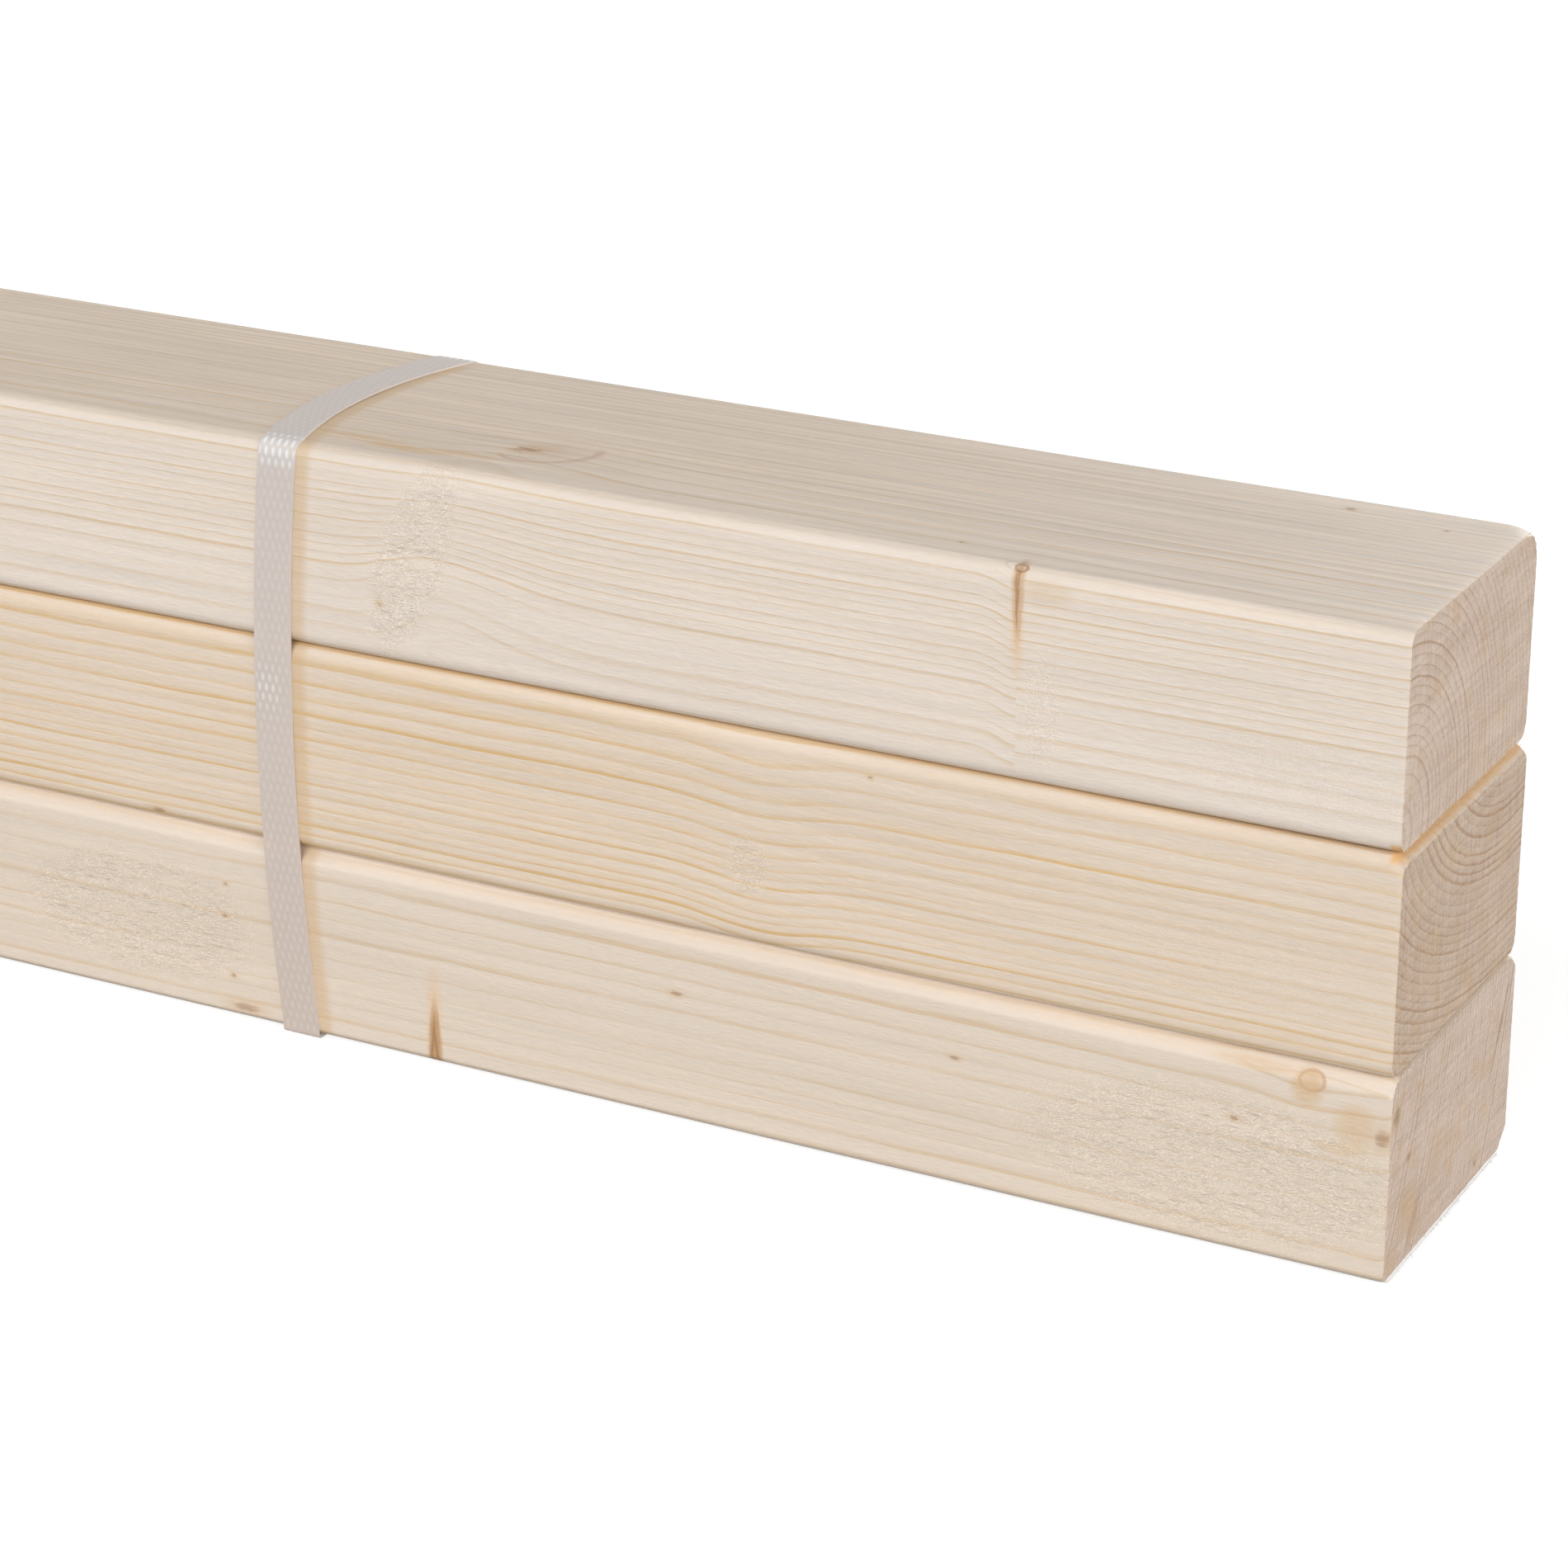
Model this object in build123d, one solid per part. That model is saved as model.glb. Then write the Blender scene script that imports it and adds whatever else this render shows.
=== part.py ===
"""Bundle of three planed spruce battens, lying on each other and tied by two plastic straps.

Millimetres. X runs along the battens, towards their near end, Y from the front face to the back, and Z up.
The origin is below the middle of the bundle, on the level that the straps' undersides lie on.
"""

import os

from build123d import *

# Battens, wide faces level, all sawn to one length
BATTEN_LENGTH = 2100.0
BATTEN_DEPTH = 69.0
BOTTOM_HEIGHT = 43.0
MIDDLE_HEIGHT = 45.6
TOP_HEIGHT = 43.4
EDGE_RADIUS = 3.0

# How far the bottom and top battens are pushed along, towards the near end, past the middle one
BOTTOM_SHIFT = 0.5
TOP_SHIFT = -0.6

# Strap section, the straps' distances from the battens' ends, and the welded overlap that closes each loop
STRAP_WIDTH = 9.0
STRAP_THICKNESS = 0.6
NEAR_STRAP_INSET = 244.0
FAR_STRAP_INSET = 258.0
WELD_LENGTH = 38.0

# How far each stretch of a strap sags towards the middle of the battens, from corner to corner
FRONT_SAG = 3.4
TOP_SAG = 5.0
BACK_SAG = 1.6
BOTTOM_SAG = 2.2

# How much nearer to the battens' end a strap crosses the back corners than the front ones
BACK_DRIFT = 1.6

# The stack that the straps go round
STACK_HEIGHT = BOTTOM_HEIGHT + MIDDLE_HEIGHT + TOP_HEIGHT
STACK_CENTRE = Vector(0, 0, STRAP_THICKNESS + STACK_HEIGHT / 2)

# Outward directions of the stack's long sides, in the order in which a strap passes them
FRONT = Vector(0, -1, 0)
TOP = Vector(0, 0, 1)
BACK = Vector(0, 1, 0)
BOTTOM = Vector(0, 0, -1)


def batten(height, underside, shift):
    """One batten: a rectangle with four rounded corners, drawn out along X."""
    section = RectangleRounded(BATTEN_DEPTH, height, EDGE_RADIUS)
    middle = Plane(origin=(shift, 0, underside + height / 2), x_dir=(0, 1, 0), z_dir=(1, 0, 0))
    return extrude(middle * section, amount=BATTEN_LENGTH / 2, both=True)


def stretch_outline(start_x, end_x, run, sag):
    """A strap's outline on one side of the stack, between two corners, both edges on equal arcs."""
    middle_x = (start_x + end_x) / 2 - sag
    line = ThreePointArc((start_x, -run / 2), (middle_x, 0), (end_x, run / 2))
    low_edge = Pos(-STRAP_WIDTH / 2, 0) * line
    high_edge = Pos(STRAP_WIDTH / 2, 0) * line
    start = Line(low_edge @ 0, high_edge @ 0)
    end = Line(low_edge @ 1, high_edge @ 1)
    return make_face([low_edge, start, high_edge, end])


def bend_section():
    """The quarter ring that a strap makes round a batten's rounded edge."""
    outside = EDGE_RADIUS + STRAP_THICKNESS
    quadrant = Rectangle(outside, outside, align=(Align.MIN, Align.MIN))
    return (Circle(outside) - Circle(EDGE_RADIUS)) & quadrant


def strap(inset, end):
    """A closed strap round the stack: four stretches, four bends and the overlap welded on at the back.

    end is 1 at the battens' near end and -1 at their far end.
    """
    front_x = end * (BATTEN_LENGTH / 2 - inset)
    back_x = front_x + end * BACK_DRIFT
    upright_run = STACK_HEIGHT - 2 * EDGE_RADIUS
    level_run = BATTEN_DEPTH - 2 * EDGE_RADIUS
    sides = [
        (FRONT, BATTEN_DEPTH / 2, upright_run, front_x, front_x, FRONT_SAG),
        (TOP, STACK_HEIGHT / 2, level_run, front_x, back_x, TOP_SAG),
        (BACK, BATTEN_DEPTH / 2, upright_run, back_x, back_x, BACK_SAG),
        (BOTTOM, STACK_HEIGHT / 2, level_run, back_x, front_x, BOTTOM_SAG),
    ]
    pieces = []
    for side, next_side in zip(sides, sides[1:] + sides[:1]):
        outward, reach, run, start_x, end_x, sag = side
        next_outward, next_reach = next_side[:2]
        face = Plane(origin=STACK_CENTRE + outward * reach, x_dir=(1, 0, 0), z_dir=outward)
        outline = stretch_outline(start_x, end_x, run, end * sag)
        pieces.append(extrude(face * outline, amount=STRAP_THICKNESS))
        if outward == BACK:
            overlap = outline & Rectangle(BATTEN_LENGTH, WELD_LENGTH)
            pieces.append(extrude(face.offset(STRAP_THICKNESS) * overlap, amount=STRAP_THICKNESS))
        corner = outward * (reach - EDGE_RADIUS) + next_outward * (next_reach - EDGE_RADIUS)
        bend_plane = Plane(
            origin=STACK_CENTRE + corner + Vector(end_x, 0, 0),
            x_dir=outward,
            z_dir=outward.cross(next_outward),
        )
        pieces.append(extrude(bend_plane * bend_section(), amount=STRAP_WIDTH / 2, both=True))
    return Part() + pieces


middle_underside = STRAP_THICKNESS + BOTTOM_HEIGHT
top_underside = middle_underside + MIDDLE_HEIGHT

nodes = {
    "batten_bottom": batten(BOTTOM_HEIGHT, STRAP_THICKNESS, BOTTOM_SHIFT),
    "batten_middle": batten(MIDDLE_HEIGHT, middle_underside, 0),
    "batten_top": batten(TOP_HEIGHT, top_underside, TOP_SHIFT),
    "strap_near_end": strap(NEAR_STRAP_INSET, 1),
    "strap_far_end": strap(FAR_STRAP_INSET, -1),
}

os.makedirs("parts", exist_ok=True)
for name, piece in nodes.items():
    export_step(piece, f"parts/{name}.step")
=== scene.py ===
"""Looks of a bundle of three planed spruce battens, tied with two embossed plastic straps.

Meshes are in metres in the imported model's frame.  Places in the wood are in
millimetres from the near end: x along the battens and negative towards the
far end, y inwards from the front face, z up from the lowest underside.
"""

from __future__ import annotations

import logging
import math
from collections.abc import Sequence
from dataclasses import dataclass
from enum import Enum
from typing import Any
from typing import Union

import bpy
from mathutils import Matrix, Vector


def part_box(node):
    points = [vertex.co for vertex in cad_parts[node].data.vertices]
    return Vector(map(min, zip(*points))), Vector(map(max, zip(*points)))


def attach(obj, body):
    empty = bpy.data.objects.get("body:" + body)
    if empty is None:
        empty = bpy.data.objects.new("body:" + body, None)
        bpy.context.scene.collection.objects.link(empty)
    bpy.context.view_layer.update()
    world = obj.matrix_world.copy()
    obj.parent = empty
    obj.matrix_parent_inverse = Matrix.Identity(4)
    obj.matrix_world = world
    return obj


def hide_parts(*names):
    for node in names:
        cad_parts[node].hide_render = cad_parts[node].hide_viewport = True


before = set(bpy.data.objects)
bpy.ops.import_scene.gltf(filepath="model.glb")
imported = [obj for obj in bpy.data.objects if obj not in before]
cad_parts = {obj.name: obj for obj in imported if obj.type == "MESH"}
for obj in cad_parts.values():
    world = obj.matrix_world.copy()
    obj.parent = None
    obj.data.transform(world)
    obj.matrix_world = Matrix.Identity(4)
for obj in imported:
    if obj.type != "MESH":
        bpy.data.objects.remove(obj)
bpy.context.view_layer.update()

log = logging.getLogger("batten_bundle")

MILLIMETRES = 1000.0
BODY = "root"
MIDDLE_NODE = "batten_middle"
BOTTOM_NODE = "batten_bottom"
TOP_NODE = "batten_top"
NEAR_STRAP_NODE = "strap_near_end"
FAR_STRAP_NODE = "strap_far_end"
# Name of the strap's mark for painted highlights, and for whitened bent plastic at the corners.
WHITENING_AND_HIGHLIGHT = "whitening_and_highlight"
FIRST_FIBRE_SEED = 3
# Radii added to the way from a knot where its branch is still inside the wood.
KNOT_OUT_OF_SIGHT = 4.0
# Share of the way along the batten, squared, that doesn't count, so that knots look drawn out.
KNOT_DRAWN_OUT = 0.28

Colour = tuple[float, float, float]
Point = tuple[float, float, float]
# Where something is absent, and where it is full.
Ramp = tuple[float, float]
Number = Union["Signal", float]


class Cut(Enum):
    """Which way a surface was cut from the tree."""

    ALONG = "along"
    ACROSS = "across"


class BundleEnd(Enum):
    """The end of the bundle that a piece belongs to, with its direction along X."""

    NEAR = 1.0
    FAR = -1.0


class Signal:
    """A number or vector that flows through a node tree and takes ordinary arithmetic."""

    def __init__(self, sheet: Sheet, socket: bpy.types.NodeSocket) -> None:
        """Keep the sheet that the signal belongs to and the socket that gives it."""
        self.sheet = sheet
        self.socket = socket

    def __add__(self, other: Number) -> Signal:
        """Add a number."""
        return self.sheet.math("ADD", self, other)

    def __radd__(self, other: Number) -> Signal:
        """Add to a number."""
        return self.sheet.math("ADD", other, self)

    def __sub__(self, other: Number) -> Signal:
        """Take a number away."""
        return self.sheet.math("SUBTRACT", self, other)

    def __rsub__(self, other: Number) -> Signal:
        """Take away from a number."""
        return self.sheet.math("SUBTRACT", other, self)

    def __mul__(self, other: Number) -> Signal:
        """Multiply by a number."""
        return self.sheet.math("MULTIPLY", self, other)

    def __rmul__(self, other: Number) -> Signal:
        """Multiply a number."""
        return self.sheet.math("MULTIPLY", other, self)

    def __truediv__(self, other: Number) -> Signal:
        """Divide by a number."""
        return self.sheet.math("DIVIDE", self, other)

    def __neg__(self) -> Signal:
        """Turn the sign round."""
        return self.sheet.math("MULTIPLY", self, -1.0)


class Sheet:
    """Writes formulas as the nodes of one tree, for finishes and for shapes alike."""

    def __init__(self, tree: bpy.types.NodeTree) -> None:
        """Start on an existing tree."""
        self.tree = tree

    def add(self, kind: str, **settings: Any) -> bpy.types.Node:
        """Add one node.

        Args:
            kind: Blender's name for the node type.
            **settings: Properties to set on the node.

        Returns:
            The new node.
        """
        node = self.tree.nodes.new(kind)
        for key, value in settings.items():
            setattr(node, key, value)
        return node

    def feed(self, socket: bpy.types.NodeSocket, value: Any) -> None:
        """Give a socket a signal or a constant.

        Args:
            socket: The input to fill.
            value: A signal to link, or a constant to set.
        """
        if isinstance(value, Signal):
            self.tree.links.new(value.socket, socket)
        else:
            socket.default_value = value

    def step(self, kind: str, out: int = 0, fed: dict | None = None, **settings: Any) -> Signal:
        """Add a node, feed its inputs and take one of its outputs.

        Args:
            kind: Blender's name for the node type.
            out: Place of the wanted output.
            fed: Input names or places, each with its signal or constant.
            **settings: Properties to set on the node.

        Returns:
            The chosen output as a signal.
        """
        node = self.add(kind, **settings)
        for name, value in (fed or {}).items():
            self.feed(node.inputs[name], value)
        return Signal(self, node.outputs[out])

    def math(self, operation: str, *terms: Number) -> Signal:
        """Add a Math node over one to three terms.

        Args:
            operation: Blender's name for the operation.
            *terms: Signals or numbers, in order.

        Returns:
            The result.
        """
        return self.step("ShaderNodeMath", fed=dict(enumerate(terms)), operation=operation)

    def ease(self, value: Number, low: float, high: float) -> Signal:
        """Rise smoothly from 0 at low to 1 at high; low may be the larger of the two.

        Args:
            value: Signal to read.
            low: Where the result is 0.
            high: Where the result is 1.

        Returns:
            A signal from 0 to 1.
        """
        fed = {"Value": value, "From Min": low, "From Max": high}
        return self.step("ShaderNodeMapRange", fed=fed, interpolation_type="SMOOTHSTEP")

    def bell(self, square: Signal) -> Signal:
        """Fall from 1 as a bell curve, given the squared distance in widths."""
        return self.math("EXPONENT", -square)

    def hump(self, share: Signal) -> Signal:
        """Rise from 0 at -1 to 1 in the middle, and fall to 0 again at 1."""
        return self.math("MAXIMUM", 1.0 - share * share, 0.0)

    def greatest(self, signals: Sequence[Signal]) -> Signal:
        """Give the greatest of several numbers.

        Args:
            signals: The numbers, at least one.

        Returns:
            The greatest at each point.
        """
        total = signals[0]
        for signal in signals[1:]:
            total = self.math("MAXIMUM", total, signal)
        return total

    def own_place(self) -> Signal:
        """Read the object's own coordinates."""
        return self.step("ShaderNodeTexCoord", out=3)

    def vector(self, x: Number, y: Number, z: Number) -> Signal:
        """Join three numbers into a vector."""
        return self.step("ShaderNodeCombineXYZ", fed={"X": x, "Y": y, "Z": z})

    def parts(self, vector: Signal) -> tuple[Signal, Signal, Signal]:
        """Split a vector into its three numbers.

        Args:
            vector: The vector.

        Returns:
            Its X, Y and Z.
        """
        node = self.add("ShaderNodeSeparateXYZ")
        self.feed(node.inputs[0], vector)
        return tuple(Signal(self, socket) for socket in node.outputs)

    def noise(self, vector: Signal, detail: float = 1.0, rough: float = 0.5) -> Signal:
        """Read cloudy noise, one unit to a cloud.

        Args:
            vector: Where to read it.
            detail: Octaves beyond the first.
            rough: Strength of each finer octave.

        Returns:
            A signal about one half.
        """
        fed = {"Vector": vector, "Scale": 1.0, "Detail": detail, "Roughness": rough}
        return self.step("ShaderNodeTexNoise", fed=fed)

    def noise_vector(self, vector: Signal) -> Signal:
        """Read three unlike noises as one vector."""
        fed = {"Vector": vector, "Scale": 1.0, "Detail": 1.0}
        return self.step("ShaderNodeTexNoise", out=1, fed=fed)

    def three_noises(self, vector: Signal) -> tuple[Signal, Signal, Signal]:
        """Read three unlike noises as numbers."""
        return self.parts(self.noise_vector(vector))

    def line_noise(self, along: Signal, reach: float) -> Signal:
        """Read cloudy noise along one number, one reach to a cloud."""
        fed = {"W": along, "Scale": 1.0 / reach, "Detail": 1.0}
        return self.step("ShaderNodeTexNoise", fed=fed, noise_dimensions="1D")

    def dice(self, number: Signal) -> tuple[Signal, Signal, Signal]:
        """Throw three fixed random numbers from 0 to 1 for each whole number."""
        fed = {"W": number}
        return self.parts(self.step("ShaderNodeTexWhiteNoise", out=1, fed=fed, noise_dimensions="1D"))

    def mix(self, share: Number, first: Any, second: Any) -> Signal:
        """Mix two colours.

        Args:
            share: 0 for the first colour and 1 for the second.
            first: A colour signal or constant.
            second: A colour signal or constant.

        Returns:
            The mixed colour.
        """
        colours = [c if isinstance(c, Signal) else (*c, 1.0) for c in (first, second)]
        fed = {0: share, 6: colours[0], 7: colours[1]}
        return self.step("ShaderNodeMix", out=2, fed=fed, data_type="RGBA")

    def scale(self, colour: Signal, factor: Number) -> Signal:
        """Make a colour or vector larger by a factor."""
        return self.step("ShaderNodeVectorMath", fed={0: colour, 3: factor}, operation="SCALE")

    def fit(self, vector: Signal, factor: Any, shift: Any) -> Signal:
        """Scale a vector part by part, then shift it.

        Args:
            vector: The vector, or a number to use for all three parts.
            factor: Three factors, as a constant or a signal.
            shift: Three lengths, as a constant or a signal.

        Returns:
            The moved vector.
        """
        fed = {0: vector, 1: factor, 2: shift}
        return self.step("ShaderNodeVectorMath", fed=fed, operation="MULTIPLY_ADD")

    def dot(self, first: Signal, second: Any) -> Signal:
        """Multiply two vectors part by part and add up."""
        return self.step("ShaderNodeVectorMath", out=1, fed={0: first, 1: second}, operation="DOT_PRODUCT")

    def size(self, vector: Signal) -> Signal:
        """Give a vector's length."""
        return self.step("ShaderNodeVectorMath", out=1, fed={0: vector}, operation="LENGTH")


def new_finish(name: str) -> tuple[bpy.types.Material, Sheet, bpy.types.Node]:
    """Start a material.

    Args:
        name: Its name.

    Returns:
        The material, the sheet for its nodes and its shader.
    """
    material = bpy.data.materials.new(name)
    material.use_nodes = True
    return material, Sheet(material.node_tree), material.node_tree.nodes["Principled BSDF"]


@dataclass(frozen=True)
class Place:
    """A point of the wood, as a vector and its parts in millimetres from the near end."""

    sheet: Sheet
    vector: Signal
    x: Signal
    y: Signal
    z: Signal

    def grid(self, along: float, across: float, seed: float = 0.0) -> Signal:
        """Give the place in cells of one length along the grain and another across it.

        Args:
            along: Length of a cell along the battens.
            across: Width and height of a cell.
            seed: Shift that makes one reading unlike another.

        Returns:
            A vector in cells.
        """
        factor = (1.0 / along, 1.0 / across, 1.0 / across)
        return self.sheet.fit(self.vector, factor, (seed, seed, 0.0))

    def from_point(self, middle: Point, long: float, wide: float) -> Signal:
        """Give the way from a point, in half lengths along the grain and half widths across it.

        Args:
            middle: The point.
            long: Half length that counts as 1.
            wide: Half width and half height that count as 1.

        Returns:
            A vector.
        """
        factor = Vector((1.0 / long, 1.0 / wide, 1.0 / wide))
        return self.sheet.fit(self.vector, tuple(factor), tuple(Vector(middle) * factor * -1.0))


@dataclass(frozen=True)
class Cloud:
    """Cloudy noise in the wood, drawn out along the grain.

    Attributes:
        along: Length of a cloud along the battens, in millimetres.
        across: Its width and height.
        seed: Shift that makes it unlike the others.
        detail: Octaves beyond the first.
        rough: Strength of each finer octave.
    """

    along: float
    across: float
    seed: float
    detail: float = 1.0
    rough: float = 0.5

    def where(self, place: Place, seed: float) -> Signal:
        """Give the place in clouds, for one batten's seed."""
        return place.grid(self.along, self.across, seed + self.seed)

    def read(self, place: Place, seed: float = 0.0) -> Signal:
        """Read the noise, which is about one half."""
        return place.sheet.noise(self.where(place, seed), self.detail, self.rough)

    def swing(self, place: Place, seed: float) -> Signal:
        """Read the noise less one half, so that it is about zero."""
        return self.read(place, seed) - 0.5

    def pair(self, place: Place, seed: float) -> tuple[Signal, Signal]:
        """Read two unlike noises about one half."""
        return place.sheet.three_noises(self.where(place, seed))[:2]


@dataclass(frozen=True)
class Palette:
    """Colours of what interrupts the plain wood.

    Attributes:
        knot: Blush and arcs of a knot.
        core: Darkest wood of pin knots and streak knots.
        stain_and_shade: Amber wood beside knots; also the colour of painted shade on the upper face, of the
            painted shadow beside the near strap and of the painted shade between torn scales.
        groove: Painted amber shade deep in the joints, for light bounced there.
        raw: Amber of the trail past streak knots, and of the glow painted at the near end of the upper
            joint for light bounced in the gap there.
        bevel_highlight: Pale painted highlight on the upper bevels.
        spot: Dark middle of a knot, and fine lines on the ends.
    """

    knot: Colour = (0.60, 0.39, 0.26)
    core: Colour = (0.29, 0.14, 0.06)
    stain_and_shade: Colour = (0.68, 0.47, 0.26)
    groove: Colour = (0.64, 0.43, 0.20)
    raw: Colour = (0.78, 0.49, 0.23)
    bevel_highlight: Colour = (0.88, 0.765, 0.66)
    spot: Colour = (0.40, 0.22, 0.13)


@dataclass(frozen=True)
class Knot:
    """A point's place by a knot: its push on the rings in millimetres, and the rest in its radii."""

    push: Signal
    away: Signal
    side: Signal
    back: Signal


@dataclass(frozen=True)
class Branch:
    """A branch inside a batten: grain flows round it and it shows as a knot where it is cut.

    Attributes:
        start: Where it leaves the heart, in millimetres.
        end: Where it meets the surface.
        radius: Half its width at the surface.
        swell: How far it pushes the rings outwards.
        left: Reach of the disturbed grain towards the far end.
        right: Reach towards the near end.
        across: Reach to either side.
        depth: Strength of the knot's own colour.
        lines: Arcs to a radius.
        hollow: Share of the radius without arcs.
        arcs_from: How far round towards the far side the arcs go, from -9 for all round.
        core: Strength of the dark middle.
        grows: Shares of its length over which its push sets in.
        fades: Shares of its length over which the push fades again.
        kept: Share of the push that stays at the surface.
        hides: Shares of its length over which the knot comes into sight.
        thinnest: Half its width at the heart.
    """

    start: Point
    end: Point
    radius: float
    swell: float
    left: float
    right: float
    across: float
    depth: float
    lines: float = 6.0
    hollow: float = 0.68
    arcs_from: float = -0.5
    core: float = 0.65
    grows: Ramp = (0.0, 0.3)
    fades: Ramp = (1.05, 0.4)
    kept: float = 0.2
    hides: Ramp = (0.7, 0.5)
    thinnest: float = 0.2

    def find(self, place: Place) -> Knot:
        """Work out the branch's push on the rings and the way from its middle.

        Args:
            place: The point in the wood.

        Returns:
            The point's place by the knot.
        """
        sheet = place.sheet
        run = Vector(self.end) - Vector(self.start)
        reach = run.length
        run.normalize()
        from_start = sheet.fit(place.vector, (1.0, 1.0, 1.0), tuple(-Vector(self.start)))
        along = sheet.dot(from_start, tuple(run))
        aside = sheet.fit(along, tuple(-run), from_start)
        side, back, _ = sheet.parts(aside)
        square = sheet.dot(aside, aside)
        stretch = sheet.math("GREATER_THAN", side, 0.0) * (self.right - self.left) + self.left
        lengthwise = side / stretch
        spread = lengthwise * lengthwise + (square - side * side) / self.across**2
        ramps = (self.grows, self.fades, self.hides)
        grows, fades, hides = (sheet.ease(along, low * reach, high * reach) for low, high in ramps)
        push = sheet.bell(spread) * (grows * (fades * (1.0 - self.kept) + self.kept)) * self.swell
        thick = sheet.math("MAXIMUM", along * (self.radius / reach), self.thinnest)
        away = sheet.math("SQRT", square - side * side * KNOT_DRAWN_OUT) / thick + hides * KNOT_OUT_OF_SIGHT
        return Knot(push, away, side / thick, back / thick)


@dataclass(frozen=True)
class Whorls:
    """Plain knots scattered along the stretch that the photograph doesn't show.

    Attributes:
        knot: What each of them looks like and how far it pushes the rings.
        pitch: Spacing along the batten, in millimetres.
        start: Where they begin.
        fade: Length over which they set in.
        earliest: Smallest share of the spacing at which one stands.
        scatter: How far they stray from there.
        draw: Shift of the random numbers.
        slant: How far a branch leans along the batten for each millimetre outwards.
        rise: Distance from the heart over which a branch takes shape.
        slimmest: Half the width of the thinnest ones.
        extra: How much thicker the thickest ones are.
    """

    knot: Branch = Branch(
        start=(0.0, 0.0, 0.0),
        end=(0.0, 0.0, 1.0),
        radius=4.0,
        swell=5.0,
        left=22.36,
        right=22.36,
        across=11.4,
        depth=0.9,
        lines=3.0,
        hollow=0.3,
        arcs_from=-9.0,
        core=0.6,
    )
    pitch: float = 430.0
    start: float = -385.0
    fade: float = 20.0
    earliest: float = 0.3
    scatter: float = 0.4
    draw: float = 0.5
    slant: float = 0.3
    rise: float = 12.0
    slimmest: float = 2.5
    extra: float = 3.5

    def find(self, place: Place, pith: tuple[float, float], seed: float) -> Knot:
        """Work out the nearest knot's push on the rings and the way from its middle.

        Args:
            place: The point in the wood.
            pith: Where the heart of the tree lies, inwards and up.
            seed: The batten's seed.

        Returns:
            The point's place by the knot.
        """
        sheet = place.sheet
        run = place.x / self.pitch + seed
        cell = sheet.math("FLOOR", run)
        lot, spin, _ = sheet.dice(cell + self.draw)
        turn = spin * math.tau
        here = (run - cell - self.earliest - lot * self.scatter) * self.pitch
        cosine = sheet.math("COSINE", turn)
        sine = sheet.math("SINE", turn)
        y = place.y - pith[0]
        z = place.z - pith[1]
        along = y * cosine + z * sine
        across = z * cosine - y * sine
        square = across * across
        x = here - along * self.slant
        shown = sheet.ease(place.x, self.start, self.start - self.fade)
        out = sheet.ease(along, 0.0, self.rise) * shown
        spread = x * x / self.knot.left**2 + square / self.knot.across**2
        push = sheet.bell(spread) * out * self.knot.swell
        thick = lot * self.extra + self.slimmest
        flat = sheet.math("SQRT", x * x * (1.0 - KNOT_DRAWN_OUT) + square)
        away = flat / thick + (1.0 - out) * KNOT_OUT_OF_SIGHT
        return Knot(push, away, x / thick, across / thick)


@dataclass(frozen=True)
class KnotLook:
    """How a knot is coloured: a faint blush, thin arcs round its near side, and a small dark middle.

    Lengths are in the knot's radii.  The facing pair weighs the side and the depth in where the arcs go,
    and the core's shape is how tight it is along the batten and across.
    """

    unevenness: float = 0.3
    line: Ramp = (-0.3, 0.9)
    hollow_edge: float = 0.15
    rim: Ramp = (1.15, 0.98)
    facing: tuple[float, float] = (0.6, 1.2)
    arcs_fade: float = 0.7
    blush: float = 0.4
    blush_edge: Ramp = (1.1, 0.1)
    core_shift: float = 0.3
    core_shape: tuple[float, float] = (9.0, 26.0)
    core_noise: float = 9.0
    core_reach: Ramp = (3.0, 2.0)
    core_edge: Ramp = (1.3, -0.5)
    halo: float = 0.6
    halo_spread: float = 0.3
    halo_edge: Ramp = (1.4, 0.0)

    def paint(self, wood: Signal, knot: Knot, branch: Branch, ragged: Signal, palette: Palette) -> Signal:
        """Colour one knot.

        Args:
            wood: Colour of the wood so far.
            knot: The point's place by the knot.
            branch: The branch that it belongs to.
            ragged: Noise about zero that makes its outlines uneven.
            palette: The wood's other colours.

        Returns:
            The colour with the knot in it.
        """
        sheet = wood.sheet
        uneven = sheet.math("MULTIPLY_ADD", ragged, self.unevenness, knot.away)
        wave = sheet.math("SINE", uneven * (branch.lines * math.tau))
        arcs = sheet.ease(wave, *self.line)
        arcs = arcs * sheet.ease(uneven, branch.hollow, branch.hollow + self.hollow_edge)
        arcs = arcs * sheet.ease(uneven, *self.rim)
        toward = knot.side * self.facing[0] - knot.back * self.facing[1]
        arcs = arcs * sheet.ease(toward, branch.arcs_from, branch.arcs_from + self.arcs_fade)
        blush = sheet.ease(uneven, *self.blush_edge) * self.blush
        wood = sheet.mix(sheet.math("MAXIMUM", blush, arcs) * branch.depth, wood, palette.knot)
        if not branch.core:
            return wood
        side = knot.side + self.core_shift
        core = side * side * self.core_shape[0] + knot.back * knot.back * self.core_shape[1]
        core = core + ragged * self.core_noise
        here = sheet.ease(knot.away, *self.core_reach) * branch.core
        halo = sheet.ease(core * self.halo_spread, *self.halo_edge)
        wood = sheet.mix(halo * here * self.halo, wood, palette.stain_and_shade)
        return sheet.mix(sheet.ease(core, *self.core_edge) * here, wood, palette.spot)


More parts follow.
